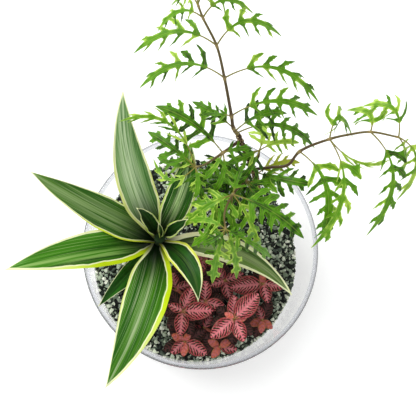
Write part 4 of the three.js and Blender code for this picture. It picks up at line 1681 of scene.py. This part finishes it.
@dataclass(frozen=True)
class LobeOutline:
    """One lobe of a cut leaf, which curves forward from a broad foot and has a few teeth.

    Attributes:
        heel: Share along the leaf at which the lobe begins.
        step: Share from one lobe to the next.
        reach: How far it stands out from the rib.
        forward: How many steps its end lies ahead of its heel.
        length: Length of the leaf.
        blunt: 0 for a pointed end, 1 for a blunt one.
        foot: Distance of its foot from the rib.
        breadth: 1 for a broad lobe, 0 for a narrow one, and less for one that hangs.
        foot_share: Share of the step that its foot takes up.
    """

    heel: float
    step: float
    reach: float
    forward: float
    length: float
    blunt: float
    foot: float
    breadth: float
    foot_share: float = 0.5

    def half_widths(self, t: np.ndarray) -> np.ndarray:
        """Gives half the lobe's width.

        Args:
            t: Shares of the lobe's own length.

        Returns:
            The half width at each.
        """
        base = self.foot_share / 2 * self.step * self.length
        neck = 0.46 + 0.12 * self.blunt + 0.2 * self.breadth
        half = base * (neck + (1 - neck) * (1 - smoothstep(t, 0, 0.24)))
        half = half * (1 + 0.3 * self.blunt * smoothstep(t, 0.35, 0.75))
        round_end = np.sqrt(np.clip(1 - (np.clip(t - 0.76, 0, 1) / 0.25) ** 2, 0.004, 1))
        point = np.clip(1 - np.clip(t - 0.25, 0, 1) / 0.77, 0.03, 1) ** 0.8
        return np.maximum(half * (self.blunt * round_end + (1 - self.blunt) * point), 0.1 * MM)

    def points(
        self, hang: float, extra: np.random.Generator, leaf: CutLeaf
    ) -> tuple[np.ndarray, np.ndarray, np.ndarray]:
        """Lays out the lobe's points.

        Args:
            hang: How far this half of the leaf hangs, in degrees.
            extra: Draws for teeth, twist and small bends.
            leaf: The leaf, which gives the number of rows and columns.

        Returns:
            Shares along the leaf, heights and distances from the rib, one for each point.
        """
        t = np.arange(1, leaf.LOBE_ROWS + 1) / leaf.LOBE_ROWS
        v = np.linspace(-1, 1, leaf.LOBE_COLUMNS)
        start = np.array([(self.heel + self.foot_share / 2 * self.step) * self.length, self.foot])
        end = np.array([(self.heel + self.forward * self.step) * self.length, self.reach])
        pull = start + (end - start) * np.array([0.25, 0.6])
        middle, ahead = bowed(start, pull, end, t)
        turn_in = smoothstep(t, 0, 0.4)[:, None]
        ahead = ahead * turn_in + np.array([0.0, 1.0]) * (1 - turn_in)
        normal = np.column_stack([ahead[:, 1], -ahead[:, 0]])
        half = self.half_widths(t)
        width = np.repeat(half[:, None], len(v), axis=1)
        self.add_teeth(width, t, extra)
        place = middle[:, None, :] + normal[:, None, :] * (width * v)[:, :, None]
        out = place[:, :, 1] - self.foot
        lean = math.radians(hang + 16 * (extra.random() - 0.5))
        twist = 0.5 * (extra.random() - 0.5)
        curl = 0.16 + 0.3 * (extra.random() - 0.5)
        fold = (0.24 * np.abs(v) + twist * v * smoothstep(t, 0.1, 0.6)[:, None]) * half[:, None]
        droop = curl * self.reach * (t**2)[:, None]
        right = self.foot + out * math.cos(lean)
        rise = -out * math.sin(lean) - droop + fold
        return np.clip(place[:, :, 0] / self.length, 0, 1.03).ravel(), rise.ravel(), right.ravel()

    def add_teeth(self, width: np.ndarray, t: np.ndarray, extra: np.random.Generator) -> None:
        """Widens the edges where teeth stand out, which point to the lobe's end.

        Args:
            width: Half widths by row and column, which are changed.
            t: Shares of the lobe's length, one for each row.
            extra: Draws for place and height.
        """
        if self.reach < 4.5 * MM:
            return
        for edge, most in ((-1, 2), (0, 2)):
            for tooth in range(1 + int(most * extra.random())):
                at = 0.5 + 0.2 * tooth + 0.14 * extra.random()
                off = t - at
                slope = np.where(off < 0, np.exp(-((off / 0.13) ** 2)), np.exp(-((off / 0.045) ** 2)))
                height = (0.4 + 0.6 * extra.random()) * slope
                width[:, edge] *= 1 + height
                width[:, edge + (1 if edge == 0 else -1)] *= 1 + 0.55 * height


TRUNK_ROUTE: tuple[Point, ...] = (
    (0.06, 0.057, 0.04), (0.06, 0.057, 0.062), (0.06, 0.057, 0.078), (0.055, 0.063, 0.098),
    (0.047, 0.07, 0.14), (0.035, 0.081, 0.172), (0.027, 0.088, 0.195),
)


def trunk_at(height: float) -> Point:
    """Finds where the trunk's line passes a height.

    Args:
        height: The height to look for.

    Returns:
        The point on the line.
    """
    knots = np.array(TRUNK_ROUTE)
    low, high = 0.0, 1.0
    for _ in range(30):
        middle = (low + high) / 2
        if curve_point(knots, middle)[2] < height:
            low = middle
        else:
            high = middle
    return tuple(float(c) for c in curve_point(knots, low))


@dataclass(frozen=True)
class LeafyStem:
    """A thin stem of the shrub with the leaves at its joints.

    Attributes:
        name: What its node is called after "shrub_stem_".
        trunk_height: Height at which it leaves the trunk, or None for the trunk's own tip.
        route: The points that it passes through.
        young: Number of young leaves at each joint.
    """

    name: str
    trunk_height: float | None
    route: tuple[Point, ...]
    leaves: tuple[CutLeaf, ...]
    young: int = 2

    RADIUS = 1.7 * MM
    TIP_RADIUS = 0.9 * MM
    SLIMMER = 0.85
    JOINT_REACH = 2.2 * MM
    JOINT_SWELL = 0.32
    YOUNG_LENGTH = 0.024
    YOUNG_TURN = 2.4
    POINTS_PER_KNOT = 30

    def shape(self, seed: int) -> Shape:
        """Makes the stem with a swelling at each joint, and its leaves.

        Args:
            seed: Seed of the first leaf.

        Returns:
            The shape with blades and loose edges.
        """
        knots = self.route if self.trunk_height is None else (trunk_at(self.trunk_height), *self.route)
        line = curve_points(knots, self.POINTS_PER_KNOT * len(knots))
        share = shares_along(line)
        radii = self.SLIMMER * (self.RADIUS + (self.TIP_RADIUS - self.RADIUS) * share)
        joint = np.zeros(len(line))
        for leaf in self.leaves:
            off = np.linalg.norm(line - np.array(leaf.root), axis=1)
            joint = np.maximum(joint, np.exp(-((off / self.JOINT_REACH) ** 2)))
        radii = radii * (1 + self.JOINT_SWELL * joint)
        stem = twig(line, radii, wood=1.0 - 0.2 * share, joint=0.85 * joint, tone=0.5, vein=1.0)
        leaves = [*self.leaves, *self.young_leaves(seed)]
        return joined([stem, *(leaf.shape(seed + i) for i, leaf in enumerate(leaves))])

    def young_leaves(self, seed: int) -> list[CutLeaf]:
        """Gives the small leaves of the side shoots, which start at the joints.

        Args:
            seed: Seed of their places.

        Returns:
            The leaves.
        """
        draws = np.random.default_rng(seed)
        leaves = []
        for spot in dict.fromkeys(leaf.root for leaf in self.leaves):
            first = 2 * math.pi * draws.random()
            for i in range(self.young):
                turn = first + self.YOUNG_TURN * i
                length = self.YOUNG_LENGTH * (0.7 + 0.6 * draws.random())
                rise = length * (0.5 * draws.random() - 0.35)
                tip = beside(spot, length, turn, rise)
                sweep = 0.2 * length * (draws.random() - 0.5)
                tone = 0.3 + 0.45 * draws.random()
                leaves.append(CutLeaf(spot, tip, 0.12 * length, sweep, 0.32 * length, tone=tone))
        return leaves


# Routes of the shrub's stems, and their leaves, most of which start at a route's point
TALL = (
    (0.02685, 0.0881, 0.1955), (0.022, 0.09, 0.208), (0.019, 0.096, 0.222), (0.01, 0.113, 0.262),
    (0.002, 0.127, 0.29), (-0.009, 0.138, 0.312), (-0.013, 0.143, 0.322),
)
TALL_TOP = (-0.013, 0.143, 0.321)
TALL_LEAVES = (
    CutLeaf((0.026, 0.0885, 0.199), (0.093, 0.082, 0.178), 0.014, -0.009, 0.013, (5, 40), 0.35),
    CutLeaf((0.024, 0.089, 0.203), (0.066, 0.104, 0.203), 0.008, -0.004, 0.012, (5, 40), 0.4),
    CutLeaf(TALL[1], (-0.011, 0.11, 0.212), 0.006, 0.0, 0.009, (30, 10), 0.4),
    CutLeaf(TALL[2], (0.089, 0.1, 0.212), 0.01, -0.009, 0.015, (5, 50), 0.55),
    CutLeaf(TALL[2], (-0.004, 0.099, 0.214), 0.003, 0.0, 0.005, tone=0.4),
    CutLeaf(TALL[3], (0.085, 0.102, 0.238), 0.008, -0.015, 0.011, (5, 65), 0.55),
    CutLeaf(TALL[3], (-0.052, 0.112, 0.238), 0.008, 0.012, 0.013, (65, 5), 0.55),
    CutLeaf(TALL[4], (-0.056, 0.129, 0.266), 0.006, 0.011, 0.012, (60, 5), 0.55),
    CutLeaf(TALL[4], (0.051, 0.142, 0.272), 0.008, -0.012, 0.012, (5, 60), 0.6),
    CutLeaf(TALL[5], (-0.039, 0.136, 0.292), 0.006, 0.007, 0.009, (55, 10), 0.62),
    CutLeaf(TALL[5], (0.027, 0.149, 0.296), 0.006, -0.009, 0.009, (10, 55), 0.62),
    CutLeaf(TALL_TOP, (-0.03, 0.149, 0.306), 0.005, 0.005, 0.006, (40, 20), 0.65),
    CutLeaf(TALL_TOP, (0.004, 0.157, 0.312), 0.004, -0.004, 0.006, (20, 40), 0.65),
    CutLeaf(TALL_TOP, (-0.018, 0.16, 0.332), 0.002, 0.001, 0.005, tone=0.7),
)

LEFT = ((0.015, 0.074, 0.19), (-0.001, 0.064, 0.188), (-0.007, 0.063, 0.186))
LEFT_LEAVES = (
    CutLeaf(LEFT[0], (-0.04, 0.108, 0.205), 0.008, 0.004, 0.015, tone=0.35),
    CutLeaf(LEFT[0], (0.008, 0.044, 0.17), 0.005, -0.004, 0.009, tone=0.45),
    CutLeaf(LEFT[2], (-0.046, 0.092, 0.186), 0.007, 0.0, 0.012, tone=0.35),
    CutLeaf(LEFT[2], (-0.068, 0.09, 0.222), 0.01, 0.017, 0.007, (50, 20), 0.65),
    CutLeaf(LEFT[2], (-0.038, 0.077, 0.16), 0.002, -0.003, 0.008, tone=0.45),
    CutLeaf(LEFT[2], (-0.041, 0.071, 0.178), 0.003, -0.015, 0.006, (20, 40), 0.7),
    CutLeaf(LEFT[2], (0.003, 0.034, 0.166), 0.005, 0.002, 0.009, tone=0.3),
    CutLeaf(LEFT[0], (-0.002, 0.05, 0.164), 0.004, 0.002, 0.01, tone=0.25),
)

RIGHT = (
    (0.059, 0.069, 0.16), (0.071, 0.068, 0.175), (0.079, 0.077, 0.185), (0.1, 0.083, 0.204),
    (0.113, 0.084, 0.215), (0.128, 0.084, 0.224), (0.149, 0.079, 0.228),
)
RIGHT_LEAVES = (
    CutLeaf(RIGHT[2], (0.098, 0.005, 0.166), 0.014, -0.012, 0.015, (5, 35), 0.45),
    CutLeaf(RIGHT[3], (0.122, 0.088, 0.192), 0.008, -0.015, 0.014, (0, 60), 0.6),
    CutLeaf(RIGHT[3], (0.09, -0.001, 0.167), 0.013, -0.016, 0.013, (5, 70), 0.65),
    CutLeaf(RIGHT[3], (0.156, 0.072, 0.18), 0.004, 0.012, 0.005, (65, 65), 0.85),
    CutLeaf(RIGHT[5], (0.114, 0.106, 0.208), 0.006, 0.008, 0.012, tone=0.75),
    CutLeaf(RIGHT[5], (0.138, 0.01, 0.165), 0.012, -0.017, 0.012, (10, 60), 0.55),
    CutLeaf(RIGHT[6], (0.122, 0.104, 0.226), 0.011, 0.01, 0.014, (50, 5), 0.7),
    CutLeaf(RIGHT[6], (0.161, 0.038, 0.178), 0.01, -0.013, 0.011, (20, 60), 0.75),
    CutLeaf(RIGHT[6], (0.165, 0.06, 0.186), 0.006, -0.002, 0.008, (10, 50), 0.8),
)

FRONT = ((0.037, 0.057, 0.16), (0.024, 0.042, 0.178), (0.016, 0.024, 0.188), (0.017, 0.012, 0.186))
FRONT_LEAVES = (
    CutLeaf(FRONT[1], (-0.015, 0.018, 0.162), 0.008, 0.002, 0.014, tone=0.65),
    CutLeaf(FRONT[1], (0.084, 0.007, 0.168), 0.01, -0.003, 0.016, tone=0.3),
    CutLeaf(FRONT[1], (0.049, -0.003, 0.15), 0.01, -0.002, 0.008, (25, 25), 0.8),
    CutLeaf(FRONT[3], (-0.009, 0.001, 0.16), 0.006, 0.002, 0.01, tone=0.6),
    CutLeaf(FRONT[3], (0.01, -0.028, 0.136), 0.006, 0.002, 0.011, (25, 25), 0.6),
    CutLeaf(FRONT[3], (0.031, -0.024, 0.134), 0.006, -0.002, 0.009, (25, 25), 0.65),
    CutLeaf(FRONT[3], (0.06, -0.007, 0.146), 0.01, 0.0, 0.009, (25, 25), 0.45),
    CutLeaf(FRONT[0], (0.066, 0.02, 0.15), 0.008, 0.003, 0.012, tone=0.4),
    CutLeaf(FRONT[0], (0.012, 0.026, 0.148), 0.006, -0.002, 0.011, tone=0.3),
    CutLeaf(FRONT[1], (0.032, 0.002, 0.157), 0.006, 0.004, 0.011, tone=0.45),
    CutLeaf(FRONT[1], (-0.01, 0.036, 0.17), 0.005, -0.003, 0.01, tone=0.5),
    CutLeaf(FRONT[1], (0.003, 0.01, 0.164), 0.007, -0.002, 0.012, tone=0.4),
    CutLeaf(FRONT[3], (-0.012, 0.021, 0.17), 0.006, 0.003, 0.011, tone=0.62),
    CutLeaf(FRONT[0], (0.002, 0.053, 0.146), 0.006, 0.002, 0.012, tone=0.22),
    CutLeaf(FRONT[0], (0.054, 0.034, 0.146), 0.006, -0.002, 0.011, tone=0.25),
)

MIDDLE = ((0.047, 0.076, 0.165), (0.047, 0.08, 0.175))
MIDDLE_LEAVES = (
    CutLeaf(MIDDLE[1], (0.082, 0.088, 0.17), 0.004, -0.003, 0.009, (20, 30), 0.9),
    CutLeaf(MIDDLE[1], (0.016, 0.064, 0.164), 0.006, 0.002, 0.01, tone=0.3),
    CutLeaf(MIDDLE[1], (0.05, 0.108, 0.166), 0.005, 0.002, 0.012, tone=0.95),
    CutLeaf(MIDDLE[1], (0.028, 0.052, 0.158), 0.006, -0.002, 0.01, tone=0.28),
)

STEMS = (
    LeafyStem("tall", None, TALL, TALL_LEAVES, young=0),
    LeafyStem("left", 0.187, LEFT, LEFT_LEAVES),
    LeafyStem("right", 0.143, RIGHT, RIGHT_LEAVES, young=0),
    LeafyStem("front", 0.149, FRONT, FRONT_LEAVES),
    LeafyStem("middle", 0.155, MIDDLE, MIDDLE_LEAVES, young=1),
)


@dataclass
class Shrub:
    """The cut-leaf shrub: rough trunk, leafy stems and the low leaves on the trunk itself."""

    radius: float = 3.8 * MM
    top_radius: float = 2.0 * MM
    stem_sides: int = 10
    trunk_sides: int = 14
    trunk_points: int = 150
    knob_points: int = 4
    knob_seed: int = 17
    no_wall: float = 1.0
    low_leaves: tuple[tuple[str, CutLeaf], ...] = (
        ("east", CutLeaf(trunk_at(0.138), (0.092, 0.053, 0.168), 0.013, 0.004, 0.014, tone=0.35)),
        ("old", CutLeaf(trunk_at(0.132), (0.084, 0.073, 0.16), 0.014, -0.002, 0.008, (18, 30), 0.6)),
        ("west", CutLeaf(trunk_at(0.138), (0.004, 0.046, 0.15), 0.008, 0.0, 0.012, tone=0.3)),
        ("front", CutLeaf(trunk_at(0.131), (0.035, 0.034, 0.136), 0.006, 0.0, 0.011, tone=0.45)),
    )

    def trunk(self) -> Shape:
        """Makes the bare line of the trunk with its knobs.

        Returns:
            A shape of loose edges.
        """
        line = curve_points(TRUNK_ROUTE, self.trunk_points)
        share = shares_along(line)
        draws = np.random.default_rng(self.knob_seed)
        radii = self.radius + (self.top_radius - self.radius) * share
        even = np.ones(self.knob_points) / self.knob_points
        knobs = np.convolve(draws.random(self.trunk_points) - 0.5, even, mode="same")
        # tone 0 gives the trunk's tube the core colour: painted shade between the bark scales
        return twig(line, radii * (0.9 + 0.3 * knobs), tone=0.0, cover=1.0)

    def build(self) -> None:
        """Makes and dresses the whole shrub."""
        material = BARK_FINISH.material()
        piece = new_piece("trunk_rough_bark", self.trunk(), material)
        grow(piece, twig_tree(), {"Sides": self.trunk_sides, "Material": material})
        BARK_SCALES.cover(piece, self.no_wall, TRUNK_ROUTE[0][2])
        hand_over(piece, "shrub_trunk", Slot.BARK, crease=None)
        green = CutLeafFinish("Shrub leaf", "0c3502", "5c9810", "c4e45c", "b8d07a").material()
        for i, stem in enumerate(STEMS):
            piece = new_piece("leafy_stem_" + stem.name, stem.shape(100 * (i + 1)), green)
            grow(piece, twig_tree(), {"Sides": self.stem_sides, "Material": green})
            hand_over(piece, "shrub_stem_" + stem.name, Slot.SHRUB)
        old = CutLeafFinish(
            "Old shrub leaf", "7f8f22", "a8b530", "c9cc4a", "b9bd62", petiole="b3a050", worn="6b4a22"
        ).material()
        for i, (name, leaf) in enumerate(self.low_leaves):
            aged = name == "old"
            material = old if aged else green
            piece = new_piece("low_leaf_" + name, leaf.shape(900 + i), material)
            grow(piece, twig_tree(), {"Sides": self.stem_sides, "Material": material})
            hand_over(piece, "shrub_leaf_low_" + name, Slot.OLD if aged else Slot.SHRUB)


@dataclass(frozen=True)
class NerveSprig:
    """A nerve plant sprig.

    Attributes:
        at: Middle of its rosette.
        leaves: Direction in degrees and length of each leaf.
    """

    at: Point
    leaves: tuple[Pair, ...]


NERVE_SPRIGS = (
    NerveSprig((-0.014, -0.05, 0.098), ((67, 0.023), (0, 0.027), (264, 0.022), (156, 0.014), (331, 0.015))),
    NerveSprig(
        (0.032, -0.057, 0.101),
        ((90, 0.021), (45, 0.031), (293, 0.022), (218, 0.027), (0, 0.011), (150, 0.01)),
    ),
    NerveSprig((-0.012, -0.077, 0.091), ((150, 0.013), (221, 0.016), (330, 0.023), (265, 0.013), (60, 0.01))),
    NerveSprig((0.02, -0.082, 0.088), ((150, 0.012), (33, 0.012), (350, 0.016), (232, 0.012))),
    NerveSprig((0.06, -0.025, 0.09), ((187, 0.03), (349, 0.019), (90, 0.011), (283, 0.018))),
    NerveSprig((0.007, -0.041, 0.091), ((90, 0.019), (340, 0.019), (200, 0.014), (280, 0.013))),
    NerveSprig((0.025, -0.022, 0.088), ((285, 0.018), (20, 0.018), (120, 0.016), (200, 0.014))),
    NerveSprig((0.006, -0.003, 0.086), ((345, 0.014), (150, 0.016), (60, 0.016), (250, 0.015))),
    NerveSprig((-0.02, -0.03, 0.088), ((100, 0.016), (20, 0.015), (215, 0.017), (300, 0.013))),
    NerveSprig((0.006, -0.065, 0.084), ((195, 0.015), (60, 0.014), (310, 0.012))),
    NerveSprig((0.06, -0.058, 0.083), ((200, 0.013), (110, 0.014), (320, 0.012), (260, 0.012))),
)


@dataclass
class NervePlants:
    """The carpet of nerve plants: domed oval leaves with pink veins, and a stem to each sprig."""

    bottom: float = 0.05
    stem: float = 1.2 * MM
    stem_points: int = 24
    stem_sides: int = 8
    width_share: float = 0.62
    tier: float = 2.5 * MM
    tip_rise: float = 1.4
    arch_share: float = 0.13
    dome: float = 0.2
    quilt: float = 0.028
    thickness: float = 0.4 * MM
    young_length: float = 0.0135
    under_count: int = 6
    under_length: float = 0.02
    under_drop: float = 5.5 * MM
    under_seed: int = 50
    shaded_below: float = 0.094
    shade_depth: float = 8.0 * MM
    most_shade: float = 0.5
    lowest: float = 0.077
    bowl_reach: float = 0.092
    grid: tuple[int, int] = (20, 13)
    under_grid: tuple[int, int] = (13, 9)

    def leaf(self, rib: Midrib, length: float, shade: float, grid: tuple[int, int]) -> Shape:
        """Makes one leaf, raised between its side veins.

        Args:
            rib: The line down its middle.
            length: Its length.
            shade: How much it is darkened by standing low.
            grid: Its rows and columns of points.

        Returns:
            The closed shape.
        """
        s = np.linspace(0, 1, grid[0])
        width = length * self.width_share
        half = width / 2 * np.sin(math.pi * np.power(s, 0.9)) ** (0.95 - 0.4 * s)
        half = np.maximum(half, 0.5 * MM * (1 - s) ** 2 + 0.06 * MM)
        across = np.tile(np.linspace(-1, 1, grid[1]), grid[0])
        rows = np.repeat(np.arange(grid[0]), grid[1])
        right = across * half[rows]
        ahead = s[rows] * length
        out = np.abs(right) / MM
        phase = math.pi * (ahead / MM - out * (VEIN_SLANT + VEIN_CURVE * out)) / VEIN_SPACING
        between = np.clip(4 * np.abs(across) * (1 - np.abs(across)), 0, 1)
        quilt = self.quilt * length * np.abs(np.sin(phase)) * between
        rise = -self.dome * half[rows] * across**2 + quilt + 0.16 * half[rows] * (np.abs(across) - 0.5)
        sheet = Shape(rib.points(s[rows], right, rise), grid_faces(*grid))
        count = len(sheet.points)
        young = 1.0 if length < self.young_length else 0.0
        sheet.values = {"across": across, "along": s[rows], "right": right / MM, "ahead": ahead / MM}
        sheet.values |= {"young": np.full(count, young), "shade": np.full(count, shade)}
        return sheet.thickened(self.thickness)

    def sprig(self, sprig: NerveSprig, number: int) -> Shape:
        """Makes one sprig: its stem and its tiers of leaves.

        Args:
            sprig: Where it stands and its leaves.
            number: The sprig's number.

        Returns:
            The shape with blades and loose edges.
        """
        x, y, z = sprig.at
        line = np.linspace((x, y, self.bottom), (x, y, z + self.tier * 0.8), self.stem_points)
        parts = [twig(line, self.stem * np.linspace(1, 0.6, self.stem_points), wood=1.0)]
        for i, (degrees, length) in enumerate(sprig.leaves):
            lift = (i % 2) * self.tier
            tip = beside(sprig.at, length, math.radians(degrees), self.tip_rise * lift)
            rib = Midrib((x, y, z - MM + lift), tip, self.arch_share * length, 0.0)
            shade = float(smoothstep(self.shaded_below - z, 0.0, self.shade_depth)) * self.most_shade
            parts.append(self.leaf(rib, length, shade, self.grid))
        return joined(parts + self.under_leaves(sprig, number))

    def under_leaves(self, sprig: NerveSprig, number: int) -> list[Shape]:
        """Makes the darker leaves lower on a sprig's stem, which fill the gaps of the carpet.

        Args:
            sprig: Where it stands.
            number: The sprig's number.

        Returns:
            The leaves that stay inside the bowl.
        """
        draws = np.random.default_rng(self.under_seed + number)
        x, y, z = sprig.at
        base = (x, y, max(self.lowest, z - self.under_drop))
        first = math.radians(sprig.leaves[0][0] + 40)
        leaves = []
        for i in range(self.under_count):
            turn = first + 2 * math.pi * (i + 0.3 * draws.random()) / self.under_count
            length = self.under_length * (0.85 + 0.3 * draws.random())
            tip = beside(base, length, turn, 1.5 * MM * draws.random())
            if math.hypot(tip[0], tip[1]) <= self.bowl_reach:
                rib = Midrib(base, tip, self.arch_share * length, 0.0)
                leaves.append(self.leaf(rib, length, 1.0, self.under_grid))
        return leaves

    def build(self) -> None:
        """Makes and dresses every sprig."""
        material = NettedFinish(
            "Nerve leaf", vein="cb525a", heart="e8848c", dark="2c0d0b", shadow="101004", olive="343c1a",
            young="ee7c5e", rim="4c4a20", edge="8f7a34", pale="fac2bc", stem="a98258",
        ).material()
        for i, sprig in enumerate(NERVE_SPRIGS):
            piece = new_piece(f"netted_sprig_{i + 1}", self.sprig(sprig, i), material)
            grow(piece, twig_tree(), {"Sides": self.stem_sides, "Material": material})
            hand_over(piece, f"nerve_sprig_{i + 1}", Slot.NERVE)


@dataclass
class Studio:
    """Pale floor, soft light and the camera that looks down on the bowl."""

    camera_place: Point = (-0.04388, -0.07634, 0.82097)
    lean_degrees: float = 10.308
    lean_way: Pair = (0.4055, 0.914)
    frame_px: float = 416.0
    focal_px: float = 800.0
    sensor_mm: float = 36.0
    floor_size: float = 40.0
    floor_height: float = -0.4 * MM
    floor_glow: float = 0.25
    sky: float = 0.8
    lamp_place: Point = (-0.9, 0.7, 1.5)
    lamp_size: float = 1.2
    lamp_power: float = 21.0

    def build(self) -> None:
        """Sets the camera, the lights and the floor."""
        self.set_camera()
        self.set_light()
        self.set_floor()

    def set_camera(self) -> None:
        """Places the camera by its distance and lean."""
        lens = bpy.data.cameras.new("Camera")
        lens.sensor_width = self.sensor_mm
        lens.sensor_fit = "HORIZONTAL"
        lens.lens = self.sensor_mm * self.focal_px / self.frame_px
        camera = bpy.data.objects.new("Camera", lens)
        lean = math.radians(self.lean_degrees)
        ahead = Vector((*(way * math.sin(lean) for way in self.lean_way), -math.cos(lean)))
        camera.location = self.camera_place
        camera.rotation_euler = Vector((0, 0, -1)).rotation_difference(ahead).to_euler()
        bpy.context.scene.collection.objects.link(camera)
        bpy.context.scene.camera = camera

    def set_light(self) -> None:
        """Hangs one large soft lamp in a white room."""
        scene = bpy.context.scene
        scene.view_settings.view_transform = "Standard"
        world = bpy.data.worlds.new("White room")
        world.use_nodes = True
        room = world.node_tree.nodes["Background"]
        room.inputs["Color"].default_value = (1.0, 1.0, 1.0, 1.0)
        room.inputs["Strength"].default_value = self.sky
        scene.world = world
        data = bpy.data.lights.new("Soft lamp", "AREA")
        data.shape = "DISK"
        data.size = self.lamp_size
        data.energy = self.lamp_power
        lamp = bpy.data.objects.new("Soft lamp", data)
        lamp.location = self.lamp_place
        aim = Vector((0.0, 0.0, 0.1)) - Vector(self.lamp_place)
        lamp.rotation_euler = aim.to_track_quat("-Z", "Y").to_euler()
        scene.collection.objects.link(lamp)

    def set_floor(self) -> None:
        """Lays the pale floor just under the bowl."""
        half = self.floor_size / 2
        corners = [(-half, -half), (half, -half), (half, half), (-half, half)]
        points = np.array([(x, y, self.floor_height) for x, y in corners])
        finish = Finish("Pale floor", 0.9, 0.1)
        finish.paint((0.95, 0.95, 0.95, 1.0))
        finish.shader.inputs["Emission Color"].default_value = (1.0, 1.0, 1.0, 1.0)
        finish.shader.inputs["Emission Strength"].default_value = self.floor_glow
        floor = new_piece("floor", Shape(points, [(0, 1, 2, 3)]), finish.material)


def main() -> None:
    """Builds the studio and every piece."""
    logging.basicConfig(level=logging.INFO, format="%(message)s")
    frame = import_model()
    LOG.info("frame with %d nodes", len(frame["nodes"]))
    Studio().build()
    bowl = Bowl()
    bowl.build()
    Ground(bowl).build()
    Dracaena().build()
    Shrub().build()
    NervePlants().build()


if __name__ == "__main__":
    main()
